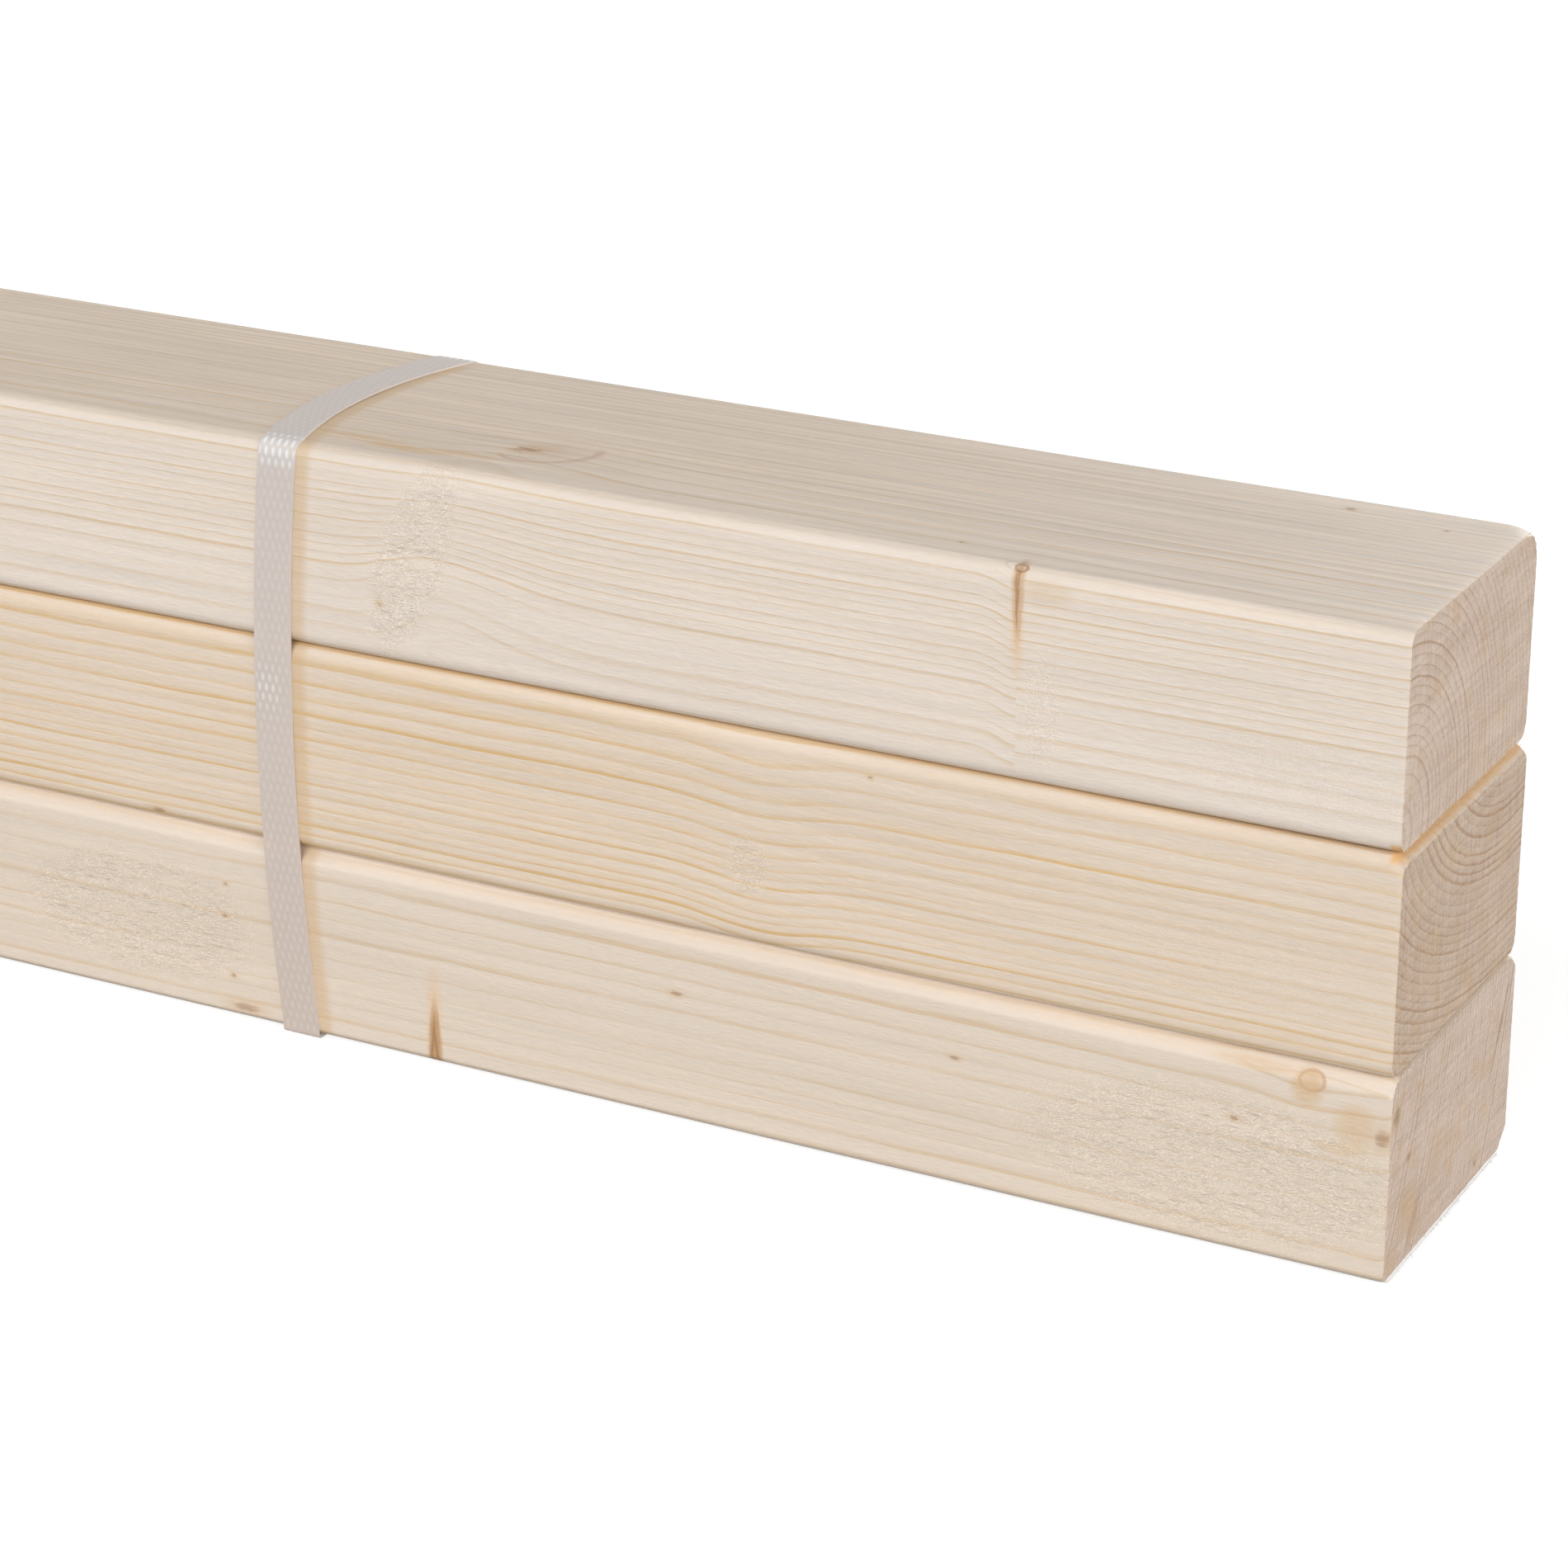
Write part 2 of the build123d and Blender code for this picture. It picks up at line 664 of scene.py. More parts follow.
@dataclass(frozen=True)
class Spike:
    """A thin branch sawn along its length, seen as a tapering streak on the front.

    Attributes:
        x: Where the streak stands.
        wide_z: Height of its broad end.
        tip_z: Height of its point.
        half_width: Half its width at the broad end.
        trail: How far a faint streak goes on past the point.
        loop: Height plus depth of a small loop at the broad end, or 0 for none.
        split: How far apart its two dark strands start, in half widths.
        solid: Strength of the colour between them.
        colour: Colour of the streak.
    """

    x: float
    wide_z: float
    tip_z: float
    half_width: float
    trail: float
    loop: float = 0.0
    split: float = 0.42
    solid: float = 0.8
    colour: Colour = (0.50, 0.29, 0.14)


@dataclass(frozen=True)
class SpikeLook:
    """How a streak knot is coloured: a brown body, two dark strands and an amber trail.

    Lengths are in shares of the streak's own length, and widths in its half widths.  The waver, the skin
    that the streak is seen in, its finest half width and the loop's line are in millimetres.
    """

    wave: float = 0.4
    wave_length: float = 5.0
    skin: Ramp = (6.0, 2.0)
    foot: Ramp = (-0.2, 0.02)
    finest: float = 0.3
    edge: Ramp = (1.15, 0.5)
    edge_noise: float = 0.6
    tip: Ramp = (1.0, 0.5)
    forked: Ramp = (0.55, 0.05)
    off_centre: float = 0.12
    strand: Ramp = (0.34, 0.0)
    strand_noise: float = 0.5
    strand_tip: Ramp = (0.8, 0.45)
    strand_depth: float = 0.55
    trail_width: float = 1.3
    trail_start: float = 0.6
    trail_depth: float = 0.55
    loop_size: float = 0.8
    loop_line: Ramp = (0.6, 0.0)
    loop_depth: float = 0.6

    def paint(self, place: Place, wood: Signal, spike: Spike, ragged: Signal, palette: Palette) -> Signal:
        """Colour one streak knot.

        Args:
            place: The point in the wood.
            wood: Colour of the wood so far.
            spike: The streak.
            ragged: Noise about zero that makes its outline uneven.
            palette: The wood's other colours.

        Returns:
            The colour with the streak in it.
        """
        sheet = place.sheet
        length = spike.tip_z - spike.wide_z
        along = (place.z - spike.wide_z) / length
        waver = sheet.line_noise(place.z, self.wave_length)
        aside = place.x + sheet.math("MULTIPLY_ADD", waver, self.wave, -spike.x - self.wave / 2.0)
        off = sheet.math("ABSOLUTE", aside)
        shallow = sheet.ease(place.y, *self.skin) * sheet.ease(along, *self.foot)
        half = sheet.math("MAXIMUM", (1.0 - along * along) * spike.half_width, self.finest)
        body = sheet.ease(off / half + ragged * self.edge_noise, *self.edge) * sheet.ease(along, *self.tip)
        split = sheet.ease(along, *self.forked) * spike.split
        strand = sheet.math("ABSOLUTE", sheet.math("ABSOLUTE", aside / half + self.off_centre) - split)
        dark = sheet.ease(strand + ragged * self.strand_noise, *self.strand)
        dark = dark * sheet.ease(along, *self.strand_tip)
        end = 1.0 + spike.trail / abs(length)
        trail = sheet.ease(off, spike.half_width * self.trail_width, 0.0)
        trail = trail * sheet.ease(along, end, self.trail_start)
        wood = sheet.mix(trail * shallow * self.trail_depth, wood, palette.raw)
        wood = sheet.mix(body * shallow * (ragged + spike.solid), wood, spike.colour)
        wood = sheet.mix(dark * shallow * self.strand_depth, wood, palette.core)
        if not spike.loop:
            return wood
        round_edge = place.z + place.y - spike.loop
        around = sheet.math("SQRT", aside * aside + round_edge * round_edge)
        from_loop = sheet.math("ABSOLUTE", around - spike.half_width * self.loop_size)
        eye = sheet.ease(from_loop + ragged * self.strand_noise, *self.loop_line)
        return sheet.mix(eye * self.loop_depth, wood, palette.core)


@dataclass(frozen=True)
class Speck:
    """A pin knot or a spot of resin.

    Attributes:
        x: Place along the batten.
        y: Place inwards from the front.
        z: Height.
        length: Half its length along the batten.
        width: Half its width.
        dark: Strength of its colour.
        halo: Width of the stained wood round it, in widths.
        amber: Strength of that stain.
        raggedness: How ragged its outline is.
        edge: Squared widths over which the dark spot ends.
        spread: How far the stain's edge is drawn out.
    """

    x: float
    y: float
    z: float
    length: float
    width: float
    dark: float = 0.5
    halo: float = 1.8
    amber: float = 0.36
    raggedness: float = 3.0
    edge: Ramp = (1.5, 0.0)
    spread: float = 2.0

    def masks(self, place: Place, ragged: Signal) -> tuple[Signal, Signal]:
        """Mark the dark spot and the stained wood round it.

        Args:
            place: The point in the wood.
            ragged: Noise about zero that makes its outline uneven.

        Returns:
            Two signals from 0 to 1.
        """
        sheet = place.sheet
        off = place.from_point((self.x, self.y, self.z), self.length, self.width)
        square = sheet.dot(off, off)
        uneven = sheet.math("MULTIPLY_ADD", ragged, self.raggedness, square)
        spot = sheet.ease(uneven, *self.edge) * self.dark
        return spot, sheet.ease(square, self.spread * self.halo**2, 0.0) * self.amber


@dataclass(frozen=True)
class Torn:
    """A patch where the planer lifted the grain.

    Attributes:
        x: Middle of the patch along the batten.
        y: Middle inwards from the front.
        z: Middle height.
        long: Half its length along the batten.
        wide: Half its height or depth.
        lean: How far it leans along the batten for each millimetre up.
        strength: How badly the grain is lifted.
        edge: Squared distances over which the patch ends.
    """

    x: float
    y: float
    z: float
    long: float
    wide: float
    lean: float = 0.0
    strength: float = 1.0
    edge: Ramp = (1.25, 0.45)

    def mask(self, place: Place) -> Signal:
        """Mark the patch.

        Args:
            place: The point in the wood.

        Returns:
            A signal from 0 outside to the patch's strength inside.
        """
        sheet = place.sheet
        off = place.from_point((self.x, self.y, self.z), self.long, self.wide)
        if self.lean:
            off = sheet.fit(place.z - self.z, (-self.lean / self.long, 0.0, 0.0), off)
        return sheet.ease(sheet.dot(off, off), *self.edge) * self.strength


@dataclass(frozen=True)
class Dip:
    """A stretch where the grain lines sink and rise again.

    Attributes:
        x: Middle of the dip.
        reach: Half its length.
        drop: Depth of the dip.
        inwards: How far behind the front face it dies out.
        one_sided: Whether the grain jumps back at the middle instead of rising again.
        full: Share of that depth within which it keeps its full drop.
    """

    x: float
    reach: float
    drop: float
    inwards: float = 12.0
    one_sided: bool = False
    full: float = 0.3

    def sink(self, place: Place) -> Signal:
        """Work out how far the grain sinks.

        Args:
            place: The point in the wood.

        Returns:
            The drop in millimetres.
        """
        sheet = place.sheet
        away = (place.x - self.x) / self.reach
        inside = sheet.ease(place.y, self.inwards, self.inwards * self.full)
        drop = sheet.bell(away * away) * self.drop * inside
        return drop * sheet.math("LESS_THAN", away, 0.0) if self.one_sided else drop


@dataclass(frozen=True)
class Check:
    """A fine dark line on a sawn end.

    Attributes:
        start: Where it begins, inwards and up.
        end: Where it stops, inwards and up.
        half_width: Half of its width.
        strength: How dark it is, up to 1.
        waver: How far it strays.
        roughness: How ragged it is.
        softness: How far its edges are drawn out.
        fade: Length over which it begins and ends.
    """

    start: tuple[float, float]
    end: tuple[float, float]
    half_width: float
    strength: float
    waver: float = 1.6
    roughness: float = 0.8
    softness: float = 2.0
    fade: float = 2.0

    def mask(self, place: Place, bands: Signal, pores: Signal) -> Signal:
        """Mark the line.

        Args:
            place: The point in the wood.
            bands: Broad noise about zero.
            pores: Fine noise about zero.

        Returns:
            A signal from 0 to the line's strength.
        """
        sheet = place.sheet
        run = Vector((0.0, self.end[0] - self.start[0], self.end[1] - self.start[1]))
        reach = run.length
        run.normalize()
        from_start = sheet.fit(place.vector, (0.0, 1.0, 1.0), (0.0, -self.start[0], -self.start[1]))
        along = sheet.dot(from_start, tuple(run))
        aside = sheet.size(sheet.fit(along, tuple(-run), from_start))
        aside = sheet.math("ABSOLUTE", aside + bands * self.waver + pores * self.roughness)
        line = sheet.ease(aside, self.half_width * self.softness, 0.0) * self.strength
        line = line * sheet.ease(along, -self.fade, self.fade)
        return line * sheet.ease(along, reach + self.fade, reach - self.fade)


@dataclass(frozen=True)
class Grain:
    """How one batten was cut from its tree.

    Attributes:
        name: Short name of the batten.
        pith: Where the heart of the tree lies, inwards and up.
        squash: How much less the inward distance counts than the upright one.
        ring_zones: Radii, each with the rings per millimetre gained there.
        sway: How far the rings wander along the length.
        seed: Shift that makes this batten's grain unlike the others'.
        early: Colour of the pale spring wood.
        late: Colour of the darker summer wood.
        end_early: Spring wood's colour on the sawn end.
        end_late: Summer wood's colour on the sawn end.
        contrast: Strength of the rings on the long faces.
        late_start: Share of a ring's width where its dark line begins.
        faded: How much fainter the rings are towards the near end.
        late_haze: How far a ring darkens before its line.
        heart: Radius within which the rings are faint.
        joint_shade: Strength of the amber shade painted deep in the joints.
        bevel: Strength of the pale colour painted on the upper bevels as a highlight.
        branches: Larger knots near the photographed end.
        spikes: Streak knots on the front.
        specks: Pin knots.
        torn: Patches of lifted grain.
        dips: Waves in the grain.
        end_specks: Spots on the sawn end.
        checks: Fine dark lines on the sawn end.
    """

    name: str
    pith: tuple[float, float]
    squash: float
    ring_zones: tuple[tuple[float, float], ...]
    sway: float
    seed: float
    early: Colour
    late: Colour
    end_early: Colour
    end_late: Colour
    contrast: float
    late_start: float = 0.6
    faded: float = 0.0
    late_haze: float = 0.22
    heart: float = 0.0
    joint_shade: float = 0.6
    bevel: float = 0.0
    branches: tuple[Branch, ...] = ()
    spikes: tuple[Spike, ...] = ()
    specks: tuple[Speck, ...] = ()
    torn: tuple[Torn, ...] = ()
    dips: tuple[Dip, ...] = ()
    end_specks: tuple[Speck, ...] = ()
    checks: tuple[Check, ...] = ()


@dataclass(frozen=True)
class RingLook:
    """How the growth rings run and how each one darkens.

    The sway is in millimetres along and across the grain, the unevenness in rings, and the starts and
    ends of a ring's dark line in shares of its width.  Rings are fainter in the heart of the tree.
    """

    sway_length: float = 260.0
    sway_width: float = 70.0
    wobble: Cloud = Cloud(22.0, 4.0, 3.1)
    wobble_depth: float = 0.5
    uneven_rings: float = 1.1
    uneven_reach: float = 7.0
    floor: float = 0.35
    late_scatter: float = 0.3
    late_end: float = 0.9
    ring_end: Ramp = (1.0, 0.92)
    heart_core: float = 0.3
    heart_kept: float = 0.4

    def lay(self, place: Place, grain: Grain, knots: list[Knot]) -> Signal:
        """Lay the growth rings round the heart of the tree.

        Args:
            place: The point in the wood.
            grain: How the batten was cut.
            knots: The point's place by each knot.

        Returns:
            Share of summer wood.
        """
        sheet = place.sheet
        wander = sheet.noise_vector(place.grid(self.sway_length, self.sway_width, grain.seed))
        swing = 2.0 * grain.sway
        flat = math.sqrt(grain.squash)
        bent = sheet.fit(wander, (0.0, swing, swing), place.vector)
        heart = (0.0, -(grain.pith[0] + grain.sway) * flat, -(grain.pith[1] + grain.sway))
        out = sheet.fit(bent, (0.0, flat, 1.0), heart)
        for dip in grain.dips:
            out = sheet.fit(dip.sink(place), (0.0, 0.0, 1.0), out)
        radius = sheet.size(out)
        for knot in knots:
            radius = radius - knot.push
        radius = sheet.math("MULTIPLY_ADD", self.wobble.read(place, grain.seed), self.wobble_depth, radius)
        count = sheet.line_noise(radius, self.uneven_reach) * self.uneven_rings
        for start, gained in grain.ring_zones:
            beyond = sheet.math("MAXIMUM", radius - start, 0.0) if start else radius
            count = sheet.math("MULTIPLY_ADD", beyond, gained, count)
        number = sheet.math("FLOOR", count)
        share = count - number
        luck, width, _ = sheet.dice(number + grain.seed)
        strength = luck * (1.0 - self.floor) + self.floor
        begin = width * -self.late_scatter + (grain.late_start + self.late_scatter / 2.0)
        bold = sheet.ease(share, begin, self.late_end) * strength
        late = sheet.math("MAXIMUM", bold, share * grain.late_haze) * sheet.ease(share, *self.ring_end)
        if grain.heart:
            beyond = sheet.ease(radius, grain.heart * self.heart_core, grain.heart)
            late = late * (beyond * (1.0 - self.heart_kept) + self.heart_kept)
        return late


@dataclass(frozen=True)
class TornLook:
    """How lifted grain is drawn: small uneven scales in slanting rows.

    The scales' sizes and their relief are in millimetres, and the warp moves them by rows.  Gaps between
    the scales get painted shade and their crests a painted highlight, and the patch is a little lighter.
    """

    outline: Cloud = Cloud(6.0, 2.4, 7.7)
    outline_edge: Ramp = (0.12, 0.45)
    warp: Cloud = Cloud(2.0, 1.1, 4.4)
    warp_depth: float = 12.0
    scale_length: float = 1.15
    scale_height: float = 0.66
    fading: float = 0.45
    trough_shade: Ramp = (0.2, -0.8)
    trough_shade_depth: float = 0.17
    crest_highlight: Ramp = (0.0, 0.8)
    crest_highlight_strength: float = 0.10
    light: float = 0.02
    relief: float = 0.062

    def mask(self, place: Place, patches: tuple[Torn, ...]) -> Signal:
        """Mark the patches where the planer lifted the grain.

        Args:
            place: The point in the wood.
            patches: The patches.

        Returns:
            A signal from 0 to 1.
        """
        sheet = place.sheet
        total = sheet.greatest([patch.mask(place) for patch in patches])
        return total * sheet.ease(self.outline.read(place), *self.outline_edge)

    def scales(self, place: Place) -> Signal:
        """Lay the scales.

        Args:
            place: The point in the wood.

        Returns:
            A signal from -1 to 1.
        """
        sheet = place.sheet
        across = math.pi / self.scale_height
        factor = (math.pi / self.scale_length, across, across)
        x, y, z = sheet.parts(sheet.fit(place.vector, factor, self.warp.read(place) * self.warp_depth))
        height = y + z
        return sheet.math("SINE", x + height) * sheet.math("SINE", x - height)

    def paint(
        self, place: Place, wood: Signal, torn: Signal, bump: Signal, stain_and_shade: Colour
    ) -> tuple[Signal, Signal]:
        """Colour the scales and raise them.

        Args:
            place: The point in the wood.
            wood: Colour of the wood so far.
            torn: Mask of the patches.
            bump: The surface's normal so far.
            stain_and_shade: Colour of the painted shade in the gaps.

        Returns:
            The colour and the normal with the scales in them.
        """
        sheet = place.sheet
        scales = self.scales(place)
        # Painted shade in the gaps between the scales.
        wood = sheet.mix(torn * sheet.ease(scales, *self.trough_shade) * self.trough_shade_depth, wood, stain_and_shade)
        # Painted highlight on the scales' crests, and a slight lightening of the whole patch.
        light = sheet.ease(scales, *self.crest_highlight) * self.crest_highlight_strength + self.light
        wood = sheet.scale(wood, torn * light + 1.0)
        fed = {"Height": scales, "Strength": torn, "Distance": self.relief / MILLIMETRES, "Normal": bump}
        return wood, sheet.step("ShaderNodeBump", fed=fed)


@dataclass(frozen=True)
class PlanedLook:
    """Sizes and strengths of what shows on the planed faces.

    Four noises make the wood uneven, from broad clouds to fine grit, and each light is the strength of
    one of them in the brightness.  The clouded pair is a gain and a least strength of the rings, and the
    upper_shade_by pair how far the upper face is darkened with painted shade, at first and then more
    towards the far end.  Edges, reaches and sides are in millimetres: from the joints for the amber shade
    painted in them and the glow painted at the near end of the upper one, and from the strap and the back
    for the shadow painted beside the strap.
    """

    cloud: Cloud = Cloud(140.0, 15.0, 5.0)
    streak: Cloud = Cloud(75.0, 2.0, 6.0)
    fibre: Cloud = Cloud(36.0, 0.7, 1.0, 2.0, 0.6)
    grit: Cloud = Cloud(3.0, 0.42, 2.0, 2.0, 0.65)
    clouded: tuple[float, float] = (1.8, 0.1)
    fibred: float = 1.5
    faded: Ramp = (-150.0, -30.0)
    fibre_share: float = 0.45
    upper: Ramp = (1.2, 0.2)
    upper_shade: Ramp = (-40.0, -230.0)
    upper_shade_by: tuple[float, float] = (0.08, 0.08)
    upper_fibre: float = 0.5
    upper_streak: float = 0.2
    upper_lines: float = 0.1
    streak_light: float = 0.15
    fibre_light: float = 0.08
    grit_light: float = 0.16
    tint_light: float = 0.09
    light: float = 0.965
    bevel_height: float = 3.0
    bevel_edge: Ramp = (-0.8, 0.5)
    groove_edge: Ramp = (1.0, 0.1)
    raw_reach: Ramp = (-3.4, -2.2)
    raw_height: Ramp = (2.6, 1.2)
    raw_depth: float = 0.95
    strap_shadow_side: Ramp = (-1.5, 0.0)
    strap_shadow_reach: Ramp = (4.4, 1.8)
    strap_shadow_back: Ramp = (3.0, 9.0)
    strap_shadow_depth: float = 0.55
    halo_noise: float = 3.0
    rough_fibre: float = 0.25
    relief: float = 0.12


@dataclass(frozen=True)
class SawMarks:
    """Noise on a sawn end, drawn out along the cut.

    Attributes:
        inwards: Marks for each millimetre inwards.
        upwards: Marks for each millimetre up.
        shift: Shift that makes them unlike the others.
        detail: Octaves beyond the first.
    """

    inwards: float
    upwards: float
    shift: float
    detail: float

    def swing(self, place: Place, seed: float) -> Signal:
        """Read the marks, which are about zero, for one batten's seed."""
        where = place.sheet.fit(place.vector, (0.0, self.inwards, self.upwards), (seed, self.shift, 0.0))
        return place.sheet.noise(where, detail=self.detail) - 0.5


@dataclass(frozen=True)
class SawnLook:
    """Sizes and strengths of what shows on the sawn ends.

    Level and upright marks of the saw, broad bands and fine pores each have a depth of colour and, where
    they are felt, a height in millimetres.
    """

    streaks: SawMarks = SawMarks(0.05, 0.95, 0.0, 2.0)
    streak_depth: float = 0.6
    streak_height: float = 0.45
    upright: SawMarks = SawMarks(1.5, 0.1, 8.0, 2.0)
    upright_depth: float = 0.7
    upright_height: float = 0.3
    bands: SawMarks = SawMarks(0.03, 0.16, 4.0, 1.0)
    band_depth: float = 0.35
    pores: Cloud = Cloud(1.0, 0.5, 2.0, 2.0, 0.65)
    pore_depth: float = 0.9
    pore_height: float = 0.35
    mottle: Cloud = Cloud(1.0, 7.0, 9.0, 2.0)
    mottle_edge: Ramp = (0.5, 0.75)
    mottle_depth: float = 0.35
    rings: float = 1.1
    ring_base: float = 0.05
    shade_light: float = 0.25
    light: float = 1.05
    roughness: float = 0.8
    rough_streak: float = 0.2


@dataclass(frozen=True)
class SpruceFinish:
    """Planed spruce on the long faces and sawn end grain on the ends, cut from one solid field.

    The grain says how the batten was cut from its tree, and the looks how each feature is drawn.  The
    heights of the two joints and of the upper face are in millimetres.
    """

    grain: Grain
    palette: Palette = Palette()
    rings: RingLook = RingLook()
    whorls: Whorls = Whorls()
    knots: KnotLook = KnotLook()
    spikes: SpikeLook = SpikeLook()
    torn: TornLook = TornLook()
    planed: PlanedLook = PlanedLook()
    sawn: SawnLook = SawnLook()
    roughness: float = 0.52
    gloss: float = 0.06
    joint_heights: tuple[float, float] = (43.0, 88.6)
    top_height: float = 132.0

    def build(self, cut: Cut) -> bpy.types.Material:
        """Make the material for one cut through the batten.

        Args:
            cut: Along the grain for the long faces, across it for the ends.

        Returns:
            The finished material.
        """
        material, sheet, shader = new_finish(f"spruce_{self.grain.name}_{cut.value}")
        shader.inputs["Specular IOR Level"].default_value = self.gloss
        make = self.long_face if cut is Cut.ALONG else self.sawn_end
        colour, rough, bump = make(self.find_place(sheet))
        sheet.feed(shader.inputs["Base Color"], colour)
        sheet.feed(shader.inputs["Roughness"], rough)
        sheet.feed(shader.inputs["Normal"], bump)
        return material

    def find_place(self, sheet: Sheet) -> Place:
        """Read the object's own coordinates as millimetres from the near end.

        Args:
            sheet: Where to write the nodes.

        Returns:
            The place on the surface.
        """
        middle_low, middle_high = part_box(MIDDLE_NODE)
        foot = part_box(BOTTOM_NODE)[0].z
        start = Vector((middle_high.x, middle_low.y, foot)) * -MILLIMETRES
        vector = sheet.fit(sheet.own_place(), (MILLIMETRES,) * 3, tuple(start))
        return Place(sheet, vector, *sheet.parts(vector))

    def find_knots(self, place: Place) -> list[Knot]:
        """Find the point's place by each branch, and by the scattered knots last."""
        knots = [branch.find(place) for branch in self.grain.branches]
        return knots + [self.whorls.find(place, self.grain.pith, self.grain.seed)]

    def add_specks(
        self, place: Place, wood: Signal, specks: tuple[Speck, ...], ragged: Signal, noise: float
    ) -> Signal:
        """Colour pin knots and the stained wood round them.

        Args:
            place: The point in the wood.
            wood: Colour of the wood so far.
            specks: The spots.
            ragged: Noise about zero that makes their outlines uneven.
            noise: How much the same noise breaks up the stains.

        Returns:
            The colour with the spots in it.
        """
        if not specks:
            return wood
        sheet = place.sheet
        spots, halos = zip(*(speck.masks(place, ragged) for speck in specks))
        wood = sheet.mix(sheet.greatest(halos) * (ragged * noise + 1.0), wood, self.palette.stain_and_shade)
        return sheet.mix(sheet.greatest(spots), wood, self.palette.core)

    def grooves(self, place: Place) -> Signal:
        """Mark where amber shade is painted deep inside the two joints between the battens, for light
        bounced there.

        Args:
            place: The point in the wood.

        Returns:
            A signal from 0 to 1.
        """
        sheet = place.sheet
        middle = sum(self.joint_heights) / 2.0
        half = self.joint_heights[1] - middle
        height = sheet.math("ABSOLUTE", sheet.math("ABSOLUTE", place.z - middle) - half)
        return sheet.ease(height, *self.planed.groove_edge)

    def raw_edge(self, place: Place) -> Signal:
        """Mark the amber glow painted at the near end of the upper joint, for light bounced in the gap
        there.

        Args:
            place: The point in the wood.

        Returns:
            A signal from 0 to 1.
        """
        sheet = place.sheet
        height = sheet.math("ABSOLUTE", place.z - self.joint_heights[1])
        return sheet.ease(place.x, *self.planed.raw_reach) * sheet.ease(height, *self.planed.raw_height)

    def painted_strap_shadow(self, place: Place) -> Signal:
        """Mark the painted shadow along the right-hand edge of the near strap.

        Args:
            place: The point in the wood.

        Returns:
            A signal from 0 to 1.
        """
        sheet = place.sheet
        look = self.planed
        strap = Strap(NEAR_STRAP_NODE, BundleEnd.NEAR)
        low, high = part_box(MIDDLE_NODE)
        edge = (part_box(strap.node)[1].x - strap.drift - high.x) * MILLIMETRES
        depth = (high.y - low.y) * MILLIMETRES
        height = (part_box(TOP_NODE)[1].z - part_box(BOTTOM_NODE)[0].z) * MILLIMETRES
        half_depth = depth / 2.0 - strap.corner_radius * MILLIMETRES
        half_height = height / 2.0 - strap.corner_radius * MILLIMETRES
        up = place.z / half_height - height / 2.0 / half_height
        inwards = place.y / half_depth - depth / 2.0 / half_depth
        bow = sheet.hump(up) * (strap.front_sag * MILLIMETRES)
        bow = bow + sheet.hump(inwards) * (strap.top_sag * MILLIMETRES)
        off = place.x - edge + bow - place.y * (strap.drift * MILLIMETRES / depth)
        beside = sheet.ease(off, *look.strap_shadow_reach) * sheet.ease(off, *look.strap_shadow_side)
        return beside * sheet.ease(place.y, depth - look.strap_shadow_back[0], depth - look.strap_shadow_back[1])

    def long_face(self, place: Place) -> tuple[Signal, Signal, Signal]:
        """Write the finish of the planed long faces.

        Args:
            place: The point in the wood.

        Returns:
            Colour, roughness and normal.
        """
        sheet = place.sheet
        grain = self.grain
        look = self.planed
        knots = self.find_knots(place)
        late = self.rings.lay(place, grain, knots)
        cloud, tint = look.cloud.pair(place, grain.seed)
        noises = (look.streak, look.fibre, look.grit)
        streak, fibre, grit = (noise.swing(place, grain.seed) for noise in noises)
        torn = self.torn.mask(place, grain.torn)
        fading = (cloud * look.clouded[0] + look.clouded[1]) * (fibre * look.fibred + 1.0) * grain.contrast
        fading = fading * (1.0 - sheet.ease(place.x, *look.faded) * grain.faded)
        fading = fading * (1.0 - torn * self.torn.fading)
        wood = sheet.mix(late * fading + fibre * look.fibre_share, grain.early, grain.late)
        upper = sheet.ease(place.z, self.top_height - look.upper[0], self.top_height - look.upper[1])
        # Painted shade: the upper face is darkened and warmed, more towards the far end.
        upper_shade = sheet.ease(place.x, *look.upper_shade) * look.upper_shade_by[1] + look.upper_shade_by[0]
        wood = sheet.mix(upper * (upper_shade - fibre * look.upper_fibre), wood, self.palette.stain_and_shade)
        light = streak * (upper * look.upper_streak + look.streak_light) + fibre * upper * look.upper_lines
        light = fibre * look.fibre_light + grit * look.grit_light + light
        wood = sheet.scale(wood, light + tint * look.tint_light + look.light)
        # Painted highlight: the upper bevel is made paler where the light falls on it.
        bevel = self.joint_heights[0] - look.bevel_height
        bevel_highlighted = sheet.ease(place.z, bevel + look.bevel_edge[0], bevel + look.bevel_edge[1])
        wood = sheet.mix(bevel_highlighted * grain.bevel, wood, self.palette.bevel_highlight)
        for knot, branch in zip(knots, (*grain.branches, self.whorls.knot)):
            wood = self.knots.paint(wood, knot, branch, grit, self.palette)
        for spike in grain.spikes:
            wood = self.spikes.paint(place, wood, spike, grit, self.palette)
        wood = self.add_specks(place, wood, grain.specks, grit, look.halo_noise)
        # Painted shade: amber colour deep in the joints, for light bounced between the battens.
        wood = sheet.mix(self.grooves(place) * grain.joint_shade, wood, self.palette.groove)
        # Painted glow: amber colour at the near end of the upper joint, for light bounced in the gap there.
        wood = sheet.mix(self.raw_edge(place) * look.raw_depth, wood, self.palette.raw)
        # Painted shadow: darker amber colour beside the right-hand edge of the near strap.
        wood = sheet.mix(self.painted_strap_shadow(place) * look.strap_shadow_depth, wood, self.palette.stain_and_shade)
        fed = {"Height": grit * look.relief, "Distance": 1.0 / MILLIMETRES}
        bump = sheet.step("ShaderNodeBump", fed=fed)
        wood, bump = self.torn.paint(place, wood, torn, bump, self.palette.stain_and_shade)
        return wood, fibre * look.rough_fibre + self.roughness, bump

